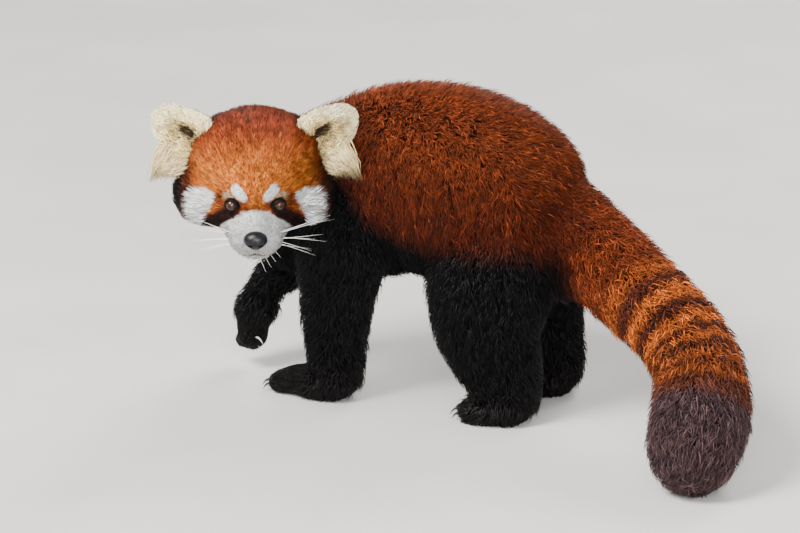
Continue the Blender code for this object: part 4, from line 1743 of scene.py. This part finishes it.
    def grow(
        self,
        strands: Strands,
        style: HairStyle,
        stops: Sequence[tuple[Vector, float]],
        sorts: Callable[[Array], Array],
        unwrap: Callable[[Array], Array],
    ) -> dict[str, list[tuple]]:
        """Shapes strands and sorts them into the pieces that hold them.

        Args:
            strands: The strands to shape.
            style: How they are shaped.
            stops: Balls that no strand reaches into.
            sorts: Gives the name of the piece for each root in pose millimetres.
            unwrap: Gives each root's place on the skin's unwrap.

        Returns:
            The arrays of each piece by its name.
        """
        middle, tip, middle_up, tip_up, leader = self.curves(strands, style)
        tones = self.shades(strands, tip, leader, style)
        free = ~(self.blocked(middle, stops) | self.blocked(tip, stops) | self.blocked(strands.root, stops))
        free &= lengths(tip - strands.root) > 0.25 * strands.length
        names = sorts(to_pose(strands.root))
        spots = unwrap(to_pose(strands.root))
        made: dict[str, list[tuple]] = {}
        for bent in (True, False):
            for name in np.unique(names):
                keep = free & (strands.bent == bent) & (names == name)
                if not keep.any():
                    continue
                rows = (strands.root, strands.normal, middle, middle_up, tip, strands.width, tones, spots)
                made.setdefault(str(name), []).append((bent, *(row[keep] for row in rows)))
        return made

    def pieces(self, name: str, groups: list[tuple]) -> list[Piece]:
        """Builds one named part of the coat, in as many pieces as its size asks.

        Args:
            name: The name of the part.
            groups: The arrays of its strands.

        Returns:
            The pieces.
        """
        made = []
        for bent, root, up, middle, middle_up, tip, width, tones, spots in groups:
            most = self.most_triangles // (10 if bent else 4)
            for part in np.array_split(np.arange(len(root)), max(1, math.ceil(len(root) / most))):
                first = unit((middle if bent else tip)[part] - root[part])
                base = root[part] - up[part] * self.root_sink
                rings = [self.ring(base, first, up[part], width[part], 1.0)]
                colours = [tones[part, 0]]
                if bent:
                    run = unit(tip[part] - root[part])
                    rings.append(self.ring(middle[part], run, middle_up[part], width[part], 0.85))
                    colours.append(tones[part, 1])
                colours.append(tones[part, 2])
                label = f"{name}_{'long' if bent else 'short'}_{len(made) + 1}"
                made.append(self.mesh(label, rings, tip[part], colours, spots[part]))
        return made

    @staticmethod
    def ring(centre: Array, run: Array, up: Array, width: Array, share: float) -> Array:
        """Three corners round each strand: two at its sides and a ridge on top.

        Args:
            centre: Each ring's middle.
            run: The way that each strand runs there.
            up: What is up there.
            width: Each strand's width.
            share: The share of the width.

        Returns:
            Three corners of each strand.
        """
        side = unit(np.cross(run, up))
        top = np.cross(side, run)
        half = (width * share * 0.5)[:, None]
        return np.stack([centre + side * half, centre - side * half, centre + top * half * 1.1], axis=1)


@dataclass(frozen=True)
class CoatKind:
    """One kind of coat: how far hairs reach, their width, their number and how many have a bend."""

    reach: float
    width: float
    density: float
    bent: float


@dataclass
class BodyCoat:
    """The coat of the whole animal but its ears.

    The head's tables are pairs of a place along the head, from its back to its nose, and a size there.
    """

    skin: Skin
    anatomy: Anatomy
    markings: Markings
    kinds: dict[str, CoatKind] = field(
        default_factory=lambda: {
            "torso": CoatKind(10.5, 1.45, 0.87, 0.08),
            "neck": CoatKind(10.5, 1.45, 0.87, 0.08),
            "tail": CoatKind(14.0, 1.4, 0.82, 0.35),
            "leg": CoatKind(13.0, 1.2, 0.56, 0.38),
            "paw": CoatKind(6.5, 1.1, 1.2, 0.0),
        }
    )
    style: HairStyle = HairStyle()
    head_style: HairStyle = HairStyle(
        clump=3.2,
        gather=0.5,
        spread=0.18,
        clump_spread=0.16,
        # Partly the hairs' own darker bases and paler tips, partly painted shade at the roots and a painted
        # highlight at the tips
        root_shade=0.22,
        middle_shade=0.7,
        tip_shade=1.35,
        jitter=0.3,
        clump_jitter=0.28,
        stray=0.05,
        dark_share=0.3,
        dark_shade=0.3,
    )
    head_reach: Pairs = (
        (-60, 13), (-25, 11), (0, 9), (20, 7.5), (40, 4.6), (55, 3.4), (70, 2.4),
    )
    head_depth: Pairs = ((-60, 6.5), (10, 4.6), (35, 3.2), (50, 2.2), (70, 1.5))
    head_width: Pairs = ((-60, 1.35), (0, 1.0), (30, 0.75), (70, 0.5))
    head_density: Pairs = ((-60, 1.0), (-10, 1.6), (15, 2.2), (40, 3.0), (70, 3.8))
    eye_clear: float = 6.1
    eye_clear_ahead: float = 2.2
    nose_clear: float = 9.0
    lowest_root: float = 1.2
    tip_station: float = 6.9

    def __post_init__(self) -> None:
        """Reads the skin and starts the coat on it."""
        self.surface = Surface(self.skin.piece)
        self.coat = Coat(self.surface, self.markings.colour, SEED)
        self.forms = {form.name: form for form in FORMS}

    def head_measures(self, pose: Array) -> Array:
        """Reach, depth, width, density and share of bent hairs of the head's coat at places.

        Args:
            pose: The places in pose millimetres.

        Returns:
            A row of the five for each.
        """
        own = HEAD.own(pose)
        x = own[:, 0]
        cheek = ease(np.abs(own[:, 1]), 26, 46) * ease(-own[:, 2], -14, 6) * (1 - ease(x, 26, 44))
        from_eyes = [lengths(own - np.array(FACE.eye_place(side))) for side in Side]
        near_eye = np.min(from_eyes, axis=0)
        short = 0.35 + 0.65 * ease(near_eye, 7.0, 15.0)
        jaw = ease(0.5 * x - 0.866 * own[:, 2], 52, 64) * ease(x, 20, 34)
        reach = looked_up(x, self.head_reach) + 4.0 * cheek + 3.0 * jaw
        depth = looked_up(x, self.head_depth) + 4.2 * cheek + 2.2 * jaw
        width = looked_up(x, self.head_width) * (0.5 + 0.5 * short)
        density = looked_up(x, self.head_density)
        return np.column_stack([reach * short, depth * short, width, density, 0.25 * cheek])

    def fields(self) -> tuple[Array, Array]:
        """The coat on the skin's vertices.

        Returns:
            The way that it lies, and its reach, depth, width, density and bent share.
        """
        pose = to_pose(self.surface.points)
        share = self.anatomy.weights(pose)
        way = self.anatomy.head_run(pose) * share["head"][:, None]
        measures = self.head_measures(pose) * share["head"][:, None]
        for name, form in self.forms.items():
            kind = self.kinds[form.coat]
            row = np.array([kind.reach, form.inset() + 0.6, kind.width, kind.density, kind.bent])
            way += self.anatomy.run(form, pose) * share[name][:, None]
            measures += share[name][:, None] * row
        normals = self.surface.normals
        for _ in range(6):
            way = self.surface.diffused(way, 5)
            way -= normals * dots(way, normals)[:, None]
            way = unit(way)
        measures = self.surface.diffused(measures, 3)
        measures[:, 3] *= self.surface.points[:, 2] > self.lowest_root * MM
        return way, measures

    def sorted_names(self, pose: Array) -> Array:
        """The part of the coat that each root belongs to.

        Args:
            pose: The places in pose millimetres.

        Returns:
            A name for each.
        """
        share = self.anatomy.weights(pose)
        names = list(share)
        most = np.argmax(np.column_stack([share[name] for name in names]), axis=1)
        label = np.array([self.part_name(name) for name in names], dtype="U20")[most]
        tip = self.anatomy.tail_station(pose) > self.tip_station
        label[(label == "tail") & tip] = "tail_tip"
        left = pose[:, 1] < 0
        for part in ("torso", "legs"):
            here = label == part
            label[here & left] = part + "_left"
            label[here & ~left] = part + "_right"
        return label

    @staticmethod
    def part_name(form: str) -> str:
        """The part of the coat that a form's roots go to.

        Args:
            form: The form's name.

        Returns:
            The part's name.
        """
        if form in ("torso", "neck", "tail", "head"):
            return "torso" if form == "neck" else form
        return "paws" if "paw" in form or "foot" in form else "legs"

    def unwrap(self, pose: Array) -> Array:
        """Each root's place on an unwrap of the skin, form by form: round it and along it.

        Args:
            pose: The places in pose millimetres.

        Returns:
            A place on the unwrap for each.
        """
        share = self.anatomy.weights(pose)
        names = list(share)
        most = np.argmax(np.column_stack([share[name] for name in names]), axis=1)
        places = np.zeros((len(pose), 2))
        for index, name in enumerate(names):
            here = most == index
            if not here.any():
                continue
            if name == "head":
                own = HEAD.own(pose[here])
                round_it = np.arctan2(own[:, 1], own[:, 2]) / (2 * math.pi) + 0.5
                along = np.arctan2(lengths(own[:, 1:]), own[:, 0]) / math.pi
            else:
                rows = self.anatomy.rows[name]
                near, _ = self.anatomy.nearest_row(name, pose[here])
                off = pose[here] - rows[near, :3]
                ahead = unit(self.anatomy.along(name, near))
                side = np.array(self.forms[name].side)
                across = unit(side - ahead * (ahead @ side)[:, None])
                turn = np.arctan2(dots(off, np.cross(ahead, across)), dots(off, across))
                round_it = turn / (2 * math.pi) + 0.5
                step = dots(off, ahead) / 12.0
                along = np.clip((near + step + 2) / (len(rows) + 4), 0, 1)
            cell = np.array([index % 4, index // 4]) / 4.0
            inner = np.column_stack([round_it, along]) * 0.24 + 0.005
            places[here] = cell + inner
        return places

    def before_eye(self, side: Side) -> Vector:
        """The middle of the ball in front of an eye that hair keeps out of."""
        look = FACE.eye_turn(side, HEAD).col[2]
        return HEAD.place(FACE.eye_place(side)) + look * (self.eye_clear_ahead * MM)

    def build(self) -> None:
        """Grows the coat and dresses its pieces."""
        way, measures = self.fields()
        draw = self.coat.draw
        face, shares = self.surface.sample(measures[:, 3], draw)
        at = self.surface.at
        reach, depth, width, _, bent = at(measures, face, shares).T
        count = len(face)
        strands = Strands(
            at(self.surface.points, face, shares),
            unit(at(self.surface.normals, face, shares)),
            unit(at(way, face, shares)),
            reach * MM * draw.uniform(0.7, 1.25, count),
            depth * MM,
            width * MM * draw.uniform(0.75, 1.2, count),
            draw.random(count) < bent,
        )
        stops = [(self.before_eye(side), self.eye_clear) for side in Side]
        stops.append((HEAD.place(FACE.nose), self.nose_clear))
        on_head = self.sorted_names(to_pose(strands.root)) == "head"
        ways = (stops, self.sorted_names, self.unwrap)
        groups = self.coat.grow(strands.part(on_head), self.head_style, *ways)
        rest = self.coat.grow(strands.part(~on_head), self.style, *ways)
        for name, rows in rest.items():
            groups.setdefault(name, []).extend(rows)
        finish = {
            "head": (FINISHES.pale, Slot.FACE),
            "tail": (FINISHES.red, Slot.TAIL),
            "tail_tip": (FINISHES.red, Slot.TAIL_DARK),
            "torso": (FINISHES.red, Slot.RED),
            "legs": (FINISHES.black, Slot.BLACK),
            "paws": (FINISHES.black, Slot.BLACK),
        }
        made = {kind.name: kind.material() for kind in (FINISHES.pale, FINISHES.red, FINISHES.black)}
        for name in sorted(groups):
            kind, slot = finish[name if name in finish else name.rsplit("_", 1)[0]]
            for piece in self.coat.pieces("coat_" + name, groups[name]):
                dress(piece, made[kind.name], slot)


# The head's own pieces


@dataclass
class Ears:
    """The two ears: a furred cup each, with a long tuft below."""

    anatomy: Anatomy
    inset: float = 4.0
    point: float = 0.08
    hollow: Triple = (10.0, 0.0, 15.0)
    hollow_radii: Triple = (12.0, 14.0, 21.0)
    voxel: float = 1.5
    smooth_times: int = 6
    tuft_roots: tuple[Triple, ...] = ((-4.0, 63.0, 12.0), (-7.0, 76.0, 29.0))
    tuft_tips: tuple[Triple, ...] = ((-9.0, 70.0, -3.0), (-14.0, 94.0, -11.0))
    tuft_count: int = 700
    # The ear's skin is darkened by this share: painted shade under its hair
    skin_shade: float = 0.8
    tuft_width: float = 0.8
    hair_width: float = 1.1
    bent_share: float = 0.2
    part: str = "ear"
    # Its colour steps are partly the hairs' own tone, partly painted shade at the roots and a painted
    # highlight at the tips
    style: HairStyle = HairStyle(
        clump=5.0, gather=0.35, root_shade=0.72, middle_shade=0.95, tip_shade=1.08, jitter=0.08
    )

    def part_name(self, pose: Array) -> Array:
        """The one name that all roots of an ear have."""
        return np.full(len(pose), self.part)

    def local(self, side: Side, pose: Array) -> Array:
        """Pose points in an ear's own frame, in millimetres."""
        centre = to_pose(np.array(HEAD.place(FACE.ear_place(side))))
        return (pose - centre) @ np.array(FACE.ear_turn(side, HEAD))

    def colour(self, side: Side, pose: Array) -> Array:
        """An ear's colours: cream in front, painted shade in the hole, and dark at the back.

        Args:
            side: Which of the animal's sides.
            pose: The places in pose millimetres.

        Returns:
            A row of linear red, green and blue for each.
        """
        own = self.local(side, pose)
        rim = lengths(own[:, 1:] / np.array(FACE.ear_radii[1:]))
        hole = lengths((own[:, 1:] - (-5.0 * side.value, 14.0)) / (7.5, 10.0))
        cream = np.tile(tone(*PALETTE.cream), (len(pose), 1))
        colour = mixed(cream, tone(*PALETTE.rim), ease(rim, 0.66, 0.95))
        # Painted shade in the ear's hollow, on its open front
        hole_shade = (1 - ease(hole, 0.7, 1.25)) * ease(own[:, 0], -8, 2)
        colour = mixed(colour, tone(*PALETTE.ear_hole), hole_shade)
        behind = ease(-own[:, 0], 1.0, 5.0) * (1 - ease(rim, 0.8, 1.0))
        return mixed(colour, tone(*PALETTE.maroon), behind)

    def cup(self, side: Side) -> Piece:
        """The ear's skin: a tapered shell with a hollow that opens forwards.

        Args:
            side: Which of the animal's sides.

        Returns:
            The piece.
        """
        name = "ear_skin_" + side.label
        turn = FACE.ear_turn(side, HEAD)
        centre = HEAD.place(FACE.ear_place(side))
        radii = [r - self.inset for r in FACE.ear_radii]
        piece = ball(name, centre, radii, turn, 40)
        self.taper(piece, side)
        hollow_centre = centre + (turn @ Vector(self.hollow)) * MM
        hollow = ball("hollow", hollow_centre, self.hollow_radii, turn, 32)
        apply_modifier(piece, "BOOLEAN", object=hollow, operation="DIFFERENCE", solver="MANIFOLD")
        bpy.data.objects.remove(hollow)
        apply_modifier(piece, "REMESH", mode="VOXEL", voxel_size=self.voxel * MM)
        apply_modifier(piece, "SMOOTH", factor=0.5, iterations=self.smooth_times)
        apply_modifier(piece, "TRIANGULATE")
        return smooth_shaded(piece)

    def taper(self, piece: Piece, side: Side) -> None:
        """Makes the ear narrower towards its top.

        Args:
            piece: The object to work on.
            side: Which of the animal's sides.
        """
        turn = np.array(FACE.ear_turn(side, HEAD))
        centre = np.array(HEAD.place(FACE.ear_place(side)))
        own = (coordinates(piece) - centre) @ turn
        up = own[:, 2] / (FACE.ear_radii[2] * MM)
        own[:, 1] *= 1.0 - FACE.ear_taper * up
        own[:, 2] *= 1.0 + self.point * ease(up, 0.4, 1.0)
        reshape(piece, own @ turn.T + centre)

    def hair(self, side: Side, piece: Piece) -> tuple[Coat, list[tuple]]:
        """The ear's own short coat.

        Args:
            side: Which of the animal's sides.
            piece: The object to work on.

        Returns:
            The coat, and the arrays of its strands.
        """
        surface = Surface(piece)
        coat = Coat(surface, partial(self.colour, side), SEED + 3 + side.value)
        own = self.local(side, to_pose(surface.points))
        turn = np.array(FACE.ear_turn(side, HEAD))
        fan = own - np.array([0.0, 0.0, -30.0])
        way = unit(fan * (0.15, 1.0, 1.0)) @ turn.T
        way -= surface.normals * dots(way, surface.normals)[:, None]
        way = unit(surface.diffused(unit(way), 6))
        outside = self.anatomy.head_nearness(to_pose(surface.points)) > 0.93
        hollow = 1 - ease(lengths((own - self.hollow) / self.hollow_radii), 1.0, 1.25)
        density = (1.3 - 0.5 * hollow) * outside
        face, shares = surface.sample(density, coat.draw)
        count = len(face)
        rim = ease(lengths(own[:, 1:] / np.array(FACE.ear_radii[1:])), 0.7, 0.9)
        length = surface.at(8.0 - 2.0 * hollow, face, shares) * coat.draw.uniform(0.75, 1.2, count)
        strands = Strands(
            surface.at(surface.points, face, shares),
            unit(surface.at(surface.normals, face, shares)),
            unit(surface.at(way, face, shares)),
            length * MM,
            surface.at(4.4 - 1.6 * hollow + 2.6 * rim, face, shares) * MM,
            np.full(count, self.hair_width * MM),
            coat.draw.random(count) < self.bent_share,
        )
        groups = coat.grow(strands, self.style, [], self.part_name, partial(self.unwrap, side))
        return coat, groups[self.part]

    def unwrap(self, side: Side, pose: Array) -> Array:
        """Places of roots on the ear's unwrap: the front and the back side by side.

        Args:
            side: Which of the animal's sides.
            pose: The places in pose millimetres.

        Returns:
            A place on the unwrap for each.
        """
        own = self.local(side, pose)
        across = own[:, 1] / (2.4 * FACE.ear_radii[1]) + 0.5
        up = own[:, 2] / (2.4 * FACE.ear_radii[2]) + 0.5
        return np.column_stack([(across + (own[:, 0] < 0)) / 2, up]).clip(0.01, 0.99)

    def tuft(self, side: Side, coat: Coat) -> tuple:
        """The long pale hairs below an ear, which sweep out and down.

        Args:
            side: Which of the animal's sides.
            coat: The coat that the ear has.

        Returns:
            The arrays of its strands.
        """
        draw = coat.draw
        count = self.tuft_count
        share = draw.random(count)
        starts, ends = np.array(self.tuft_roots), np.array(self.tuft_tips)
        root = starts[0] + (starts[1] - starts[0]) * (share[:, None] * 1.3 - 0.15)
        root += draw.normal(0, 1, (count, 3)) * (3.0, 3.5, 4.5)
        tip = ends[0] + (ends[1] - ends[0]) * share[:, None]
        tip[:, 2] += 3.0 * np.sin(math.pi * share)
        tip += (ends[1] - tip) * (0.4 * share)[:, None]
        tip = root + (tip - root) * draw.uniform(0.45, 1.08, count)[:, None]
        tip = tip + draw.normal(0, 1.6, (count, 3))
        middle = (root + tip) / 2 + np.array([3.0, 3.0, 3.0]) * draw.uniform(0.3, 1.2, count)[:, None]
        for rows in (root, tip, middle):
            rows[:, 1] *= side.value
        root, middle, tip = (HEAD.places(rows) for rows in (root, middle, tip))
        up = np.tile(HEAD.direction((1.0, 0.3 * side.value, 0.2)), (count, 1))
        base = np.tile(tone(*PALETTE.rim), (count, 1)) * np.exp(draw.normal(0, 0.08, count))[:, None]
        base = mixed(base, tone(*PALETTE.cream), draw.random(count) * 0.6)
        # Darker towards the roots and lighter at the tips: partly the hairs' own tone, partly painted shade
        # and a painted highlight
        tones = np.clip(np.stack([base * s for s in (0.75, 0.95, 1.05)], axis=1), 0, 0.95)
        spots = self.unwrap(side, to_pose(root))
        return (True, root, up, middle, up, tip, np.full(count, self.tuft_width * MM), tones, spots)

    def build(self) -> None:
        """Builds both ears and their coats."""
        skin = CoatFinish("ear_skin", roughness=0.7, specular=0.2, grain=700.0, bump=0.5).material()
        hair = CoatFinish("ear_hair", roughness=0.6, specular=0.12, variation=0.08).material()
        for side in Side:
            piece = self.cup(side)
            coat, group = self.hair(side, piece)
            colours = self.colour(side, to_pose(coordinates(piece)))
            # Painted shade: the ear's skin under its hair is darkened
            colour_attribute(piece.data, colours * self.skin_shade)
            dress(piece, skin, Slot.CREAM, "ear_" + side.label)
            for tufts in coat.pieces("ear_coat_" + side.label, group + [self.tuft(side, coat)]):
                dress(tufts, hair, Slot.CREAM)


@dataclass
class Eyes:
    """The eyeballs with their raised corneas, and the lids round them.

    The lids' profile is pairs of an angle from the edge of the opening and a height over the eyeball.
    """

    cornea: float = 0.55
    lid_steps: int = 48
    lid_profile: Pairs = (
        (0.02, 0.05), (-0.02, 0.35), (0.04, 0.75), (0.15, 0.95), (0.3, 0.7), (0.44, 0.1),
        (0.32, -0.4), (0.08, -0.3),
    )

    def eyeball(self, side: Side) -> Piece:
        """One eye, its front raised where the cornea is.

        Args:
            side: Which of the animal's sides.

        Returns:
            The piece.
        """
        turn = FACE.eye_turn(side, HEAD)
        centre = HEAD.place(FACE.eye_place(side))
        piece = ball("eyeball_" + side.label, centre, [FACE.eye_radius] * 3, turn, 64)
        look = np.array(turn.col[2])
        off = unit(coordinates(piece) - np.array(centre))
        angle = np.arccos(np.clip(off @ look, -1, 1))
        rise = self.cornea * (1 - ease(angle, 0.2, 0.75))
        reshape(piece, np.array(centre) + off * ((FACE.eye_radius + rise) * MM)[:, None])
        layer = piece.data.attributes.new("gaze_angle", "FLOAT", "POINT")
        layer.data.foreach_set("value", angle.astype(np.float32))
        return smooth_shaded(piece)

    def lids(self, side: Side) -> Piece:
        """The upper and lower lid of one eye, as one ring with an almond opening.

        Args:
            side: Which of the animal's sides.

        Returns:
            The piece.
        """
        turn = np.array(FACE.eye_turn(side, HEAD))
        centre = np.array(HEAD.place(FACE.eye_place(side)))
        levels = len(self.lid_profile)
        deselect()
        bpy.ops.mesh.primitive_grid_add(x_subdivisions=self.lid_steps, y_subdivisions=levels, size=2.0)
        piece = bpy.context.object
        piece.name = "lids_" + side.label
        flat = coordinates(piece)
        around = np.rint((flat[:, 0] + 1) / 2 * self.lid_steps).astype(int) % self.lid_steps
        level = np.rint((flat[:, 1] + 1) / 2 * levels).astype(int) % levels
        phi = 2 * math.pi * around / self.lid_steps
        up = turn.T @ HEAD.direction((0.0, 0.0, 1.0))
        inward = turn.T @ HEAD.direction((0.0, -float(side.value), 0.0))
        flat_up, flat_in = (run[:2] / np.linalg.norm(run[:2]) for run in (up, inward))
        spoke = np.column_stack([np.cos(phi), np.sin(phi)])
        high, inner = spoke @ flat_up, spoke @ flat_in
        edge = 0.84 - 0.14 * np.maximum(high, 0) ** 2 - 0.08 * np.maximum(-high, 0) ** 2
        edge = edge + 0.3 * np.maximum(inner - 0.7, 0) + 0.12 * np.maximum(-inner - 0.7, 0)
        offsets = np.array(self.lid_profile)[level]
        theta = edge + offsets[:, 0]
        radius = (FACE.eye_radius + offsets[:, 1]) * MM
        ring = np.column_stack([spoke * np.sin(theta)[:, None], np.cos(theta)]) * radius[:, None]
        reshape(piece, ring @ turn.T + centre)
        return smooth_shaded(outwards(piece))

    def build(self) -> None:
        """Builds both eyes."""
        gloss = FINISHES.eye.material()
        rim = FINISHES.lid.material()
        for side in Side:
            dress(self.eyeball(side), gloss, Slot.EYE, "eye_" + side.label)
            dress(self.lids(side), rim, Slot.NOSE)


@dataclass
class Muzzle:
    """The nose pad, the line of the lips and the whiskers."""

    whisker_count: int = 9
    whisker_radius: float = 0.27
    whisker_taper: tuple[float, ...] = (1.0, 0.8, 0.5, 0.12)
    chin_hair_count: int = 4
    chin_hair_radius: float = 0.22
    lip_radius: float = 1.0
    lip_raise: float = 1.2
    lip_sizes: tuple[float, ...] = (0.25, 0.8, 1.0, 1.0, 1.0, 0.8, 0.25)
    nostrils: tuple[tuple[Triple, Triple], ...] = (
        ((7.0, 4.4, -1.8), (3.0, 2.1, 1.7)),
        ((5.6, 7.4, -2.6), (2.6, 2.4, 1.0)),
    )

    def nose(self) -> Piece:
        """The nose pad: wide above, narrow below, with a groove and two nostrils.

        Returns:
            The piece.
        """
        piece = ball("nose_pad", HEAD.place(FACE.nose), FACE.nose_radii, HEAD.axes(), 64)
        turn = np.array(HEAD.axes())
        centre = np.array(HEAD.place(FACE.nose))
        own = (coordinates(piece) - centre) @ turn / MM
        low = ease(-own[:, 2], 0.0, FACE.nose_radii[2])
        own[:, 1] *= 1.0 - 0.38 * low
        own[:, 1] *= 1.0 + 0.05 * ease(own[:, 2], 0, 6)
        groove = np.exp(-((own[:, 1] / 0.9) ** 2)) * ease(own[:, 0], 1.0, 5.0)
        groove = groove * (1 - ease(own[:, 2], 0.5, 4.5))
        own[:, 0] -= 0.9 * groove
        reshape(piece, own * MM @ turn.T + centre)
        for side in Side:
            for point, radii in self.nostrils:
                spot = Vector(FACE.nose) + Vector((point[0], point[1] * side.value, point[2]))
                hole = ball("nostril", HEAD.place(spot), radii, HEAD.axes(), 20)
                apply_modifier(piece, "BOOLEAN", object=hole, operation="DIFFERENCE", solver="MANIFOLD")
                bpy.data.objects.remove(hole)
        choose(piece)
        bpy.ops.object.shade_smooth_by_angle(angle=math.radians(40))
        return piece

    def lips(self, surface: Surface) -> Piece:
        """The dark edge of the lips, half sunk along the line of the mouth.

        Args:
            surface: The skin as a surface.

        Returns:
            The piece.
        """
        half = list(FACE.mouth)
        path = half + [(x, -y, z) for x, y, z in reversed(half[:-1])]
        knots = HEAD.places(np.array(path, float))
        found, up = surface.project(knots)
        return tube("lips", found + up * (self.lip_raise * MM), self.lip_sizes, self.lip_radius)

    def whiskers(self) -> Piece:
        """The long white whiskers of both sides, and a few under the chin.

        Returns:
            The piece.
        """
        draw = np.random.default_rng(SEED + 20)
        made = []
        for side in Side:
            for index in range(self.whisker_count):
                share = index / (self.whisker_count - 1)
                root = np.array([56 - 9 * (index % 3) / 2, 15.5 + 3 * (index % 3), -24 - 12 * share])
                length = draw.uniform(38, 56) * (1 - 0.25 * share)
                ahead = -0.35 + 0.1 * draw.normal()
                run = np.array([ahead, 1.0, 0.18 - 0.75 * share + 0.06 * draw.normal()])
                run /= np.linalg.norm(run)
                sag = np.array([-0.12, 0.0, -0.10 * draw.uniform(0.4, 1.4)])
                points = [root + run * length * t + sag * length * t * t for t in (0.0, 0.33, 0.66, 1.0)]
                made.append((side, np.array(points), self.whisker_radius))
            for index in range(self.chin_hair_count):
                root = np.array([58 - 4 * index, 3.0 + 3.2 * index, -44.0 + 1.5 * index])
                run = np.array([0.15, 0.35 + 0.12 * index, -1.0])
                run /= np.linalg.norm(run)
                length = draw.uniform(12, 20)
                sag = np.array([-2.0, 0, 0])
                points = [root + run * length * t + sag * t * t for t in (0.0, 0.4, 0.7, 1.0)]
                made.append((side, np.array(points), self.chin_hair_radius))
        tubes = []
        for side, points, radius in made:
            points = points * (1.0, side.value, 1.0)
            tubes.append(tube("whisker", HEAD.places(points), self.whisker_taper, radius))
        return joined("whiskers", tubes)

    def build(self, surface: Surface) -> None:
        """Builds the pieces of the muzzle.

        Args:
            surface: The skin as a surface.
        """
        dress(self.nose(), FINISHES.nose.material(), Slot.NOSE, "nose")
        dress(self.lips(surface), FINISHES.lid.material(), Slot.NOSE)
        dress(self.whiskers(), FINISHES.whisker.material(), Slot.CREAM)


@dataclass
class Claws:
    """The claws of all four paws."""

    curve: float = 0.2
    sizes: tuple[float, ...] = (0.9, 1.0, 0.72, 0.08)

    def claw(self, toe: Toe) -> Piece:
        """One claw as a curved cone.

        Args:
            toe: The toe.

        Returns:
            The piece.
        """
        start, end = Vector(toe.claw_root), Vector(toe.claw_tip)
        middle = (start + end) / 2 + Vector((0, 0, (end - start).length * self.curve))
        before = start - (middle - start) * 0.5
        path = to_frame(np.array([before, start, middle, end]))
        return tube("claw", path, self.sizes, toe.claw_radius)

    def build(self) -> None:
        """Builds the claws: pale ones on the lifted paw and dark ones on the others."""
        lifted = [self.claw(toe) for toe in TOES.all() if toe.lifted]
        standing = [self.claw(toe) for toe in TOES.all() if not toe.lifted]
        dress(joined("claws_lifted", lifted), FINISHES.claw.material(), Slot.CREAM)
        dress(joined("claws_standing", standing), FINISHES.dark_claw.material(), Slot.BLACK)


# The stage


@dataclass(frozen=True)
class Stage:
    """The camera at the photograph's angle, the floor and soft light."""

    azimuth: float = 16.0
    elevation: float = 18.0
    distance: float = 4.5
    lens: float = 222.75
    aim_right: float = -10.0
    aim_up: float = 116.0
    floor_size: float = 40.0
    lamp_aim: Triple = (0.0, 0.0, 0.15)
    sky: tuple[float, float, float, float] = (0.86, 0.88, 0.9, 1.0)
    sky_strength: float = 0.75
    lamps: tuple[tuple[str, Triple, float, float, Triple], ...] = (
        ("key", (-1.2, -1.8, 2.6), 1.4, 250.0, (1.0, 0.98, 0.95)),
        ("fill", (1.0, -2.6, 1.1), 1.6, 120.0, (0.95, 0.97, 1.0)),
        ("rim", (0.8, 2.2, 2.2), 1.6, 95.0, (1.0, 0.97, 0.93)),
    )

    def camera(self) -> None:
        """Sets the camera."""
        turn, tilt = math.radians(self.azimuth), math.radians(self.elevation)
        right = Vector((math.cos(turn), math.sin(turn), 0))
        up = Vector((-math.sin(turn) * math.sin(tilt), math.cos(turn) * math.sin(tilt), math.cos(tilt)))
        back = Vector((math.sin(turn) * math.cos(tilt), -math.cos(turn) * math.cos(tilt), math.sin(tilt)))
        aim = right * self.aim_right + up * self.aim_up - Vector(PLAN_CENTRE)
        data = bpy.data.cameras.new("camera")
        data.lens = self.lens
        data.sensor_width = 36.0
        data.clip_end = 100.0
        camera = bpy.data.objects.new("camera", data)
        camera.location = aim * MM + back * self.distance
        camera.rotation_euler = Matrix((right, up, back)).transposed().to_euler()
        bpy.context.scene.collection.objects.link(camera)
        bpy.context.scene.camera = camera

    def floor(self) -> None:
        """Lays the pale floor."""
        deselect()
        bpy.ops.mesh.primitive_grid_add(x_subdivisions=4, y_subdivisions=4, size=self.floor_size)
        floor = bpy.context.object
        floor.name = "floor"
        floor.data.materials.append(FINISHES.floor.material())

    def lamp(self, name: str, place: Sequence[float], size: float, power: float, warmth: tuple) -> None:
        """Hangs one soft lamp that looks at the animal.

        Args:
            name: Its name.
            place: Where it hangs, in metres.
            size: Its disk's width.
            power: Its power in watts.
            warmth: Its colour.
        """
        data = bpy.data.lights.new(name, "AREA")
        data.shape = "DISK"
        data.size = size
        data.energy = power
        data.color = warmth
        lamp = bpy.data.objects.new(name, data)
        lamp.location = place
        aim = Vector(self.lamp_aim) - Vector(place)
        lamp.rotation_euler = aim.to_track_quat("-Z", "Y").to_euler()
        bpy.context.scene.collection.objects.link(lamp)

    def build(self) -> None:
        """Sets the camera, the floor and the light."""
        self.camera()
        self.floor()
        for lamp in self.lamps:
            self.lamp(*lamp)
        world = bpy.data.worlds.new("studio")
        world.use_nodes = True
        shade = world.node_tree.nodes["Background"]
        shade.inputs["Color"].default_value = self.sky
        shade.inputs["Strength"].default_value = self.sky_strength
        bpy.context.scene.world = world


def write_sizes() -> None:
    """Logs the number of triangles in all meshes."""
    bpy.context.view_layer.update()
    total = sum(len(piece.data.loop_triangles) for piece in bpy.data.objects if piece.type == "MESH")
    LOG.info("triangles in all %d", total)


def main() -> None:
    """Builds the red panda, piece by piece."""
    logging.basicConfig(level=logging.INFO, format="%(message)s")
    Stage().build()
    anatomy = Anatomy()
    markings = Markings(anatomy)
    skin = Skin(markings)
    skin.build()
    Eyes().build()
    coat = BodyCoat(skin, anatomy, markings)
    Muzzle().build(coat.surface)
    Claws().build()
    Ears(anatomy).build()
    coat.build()
    write_sizes()


if __name__ == "__main__":
    main()
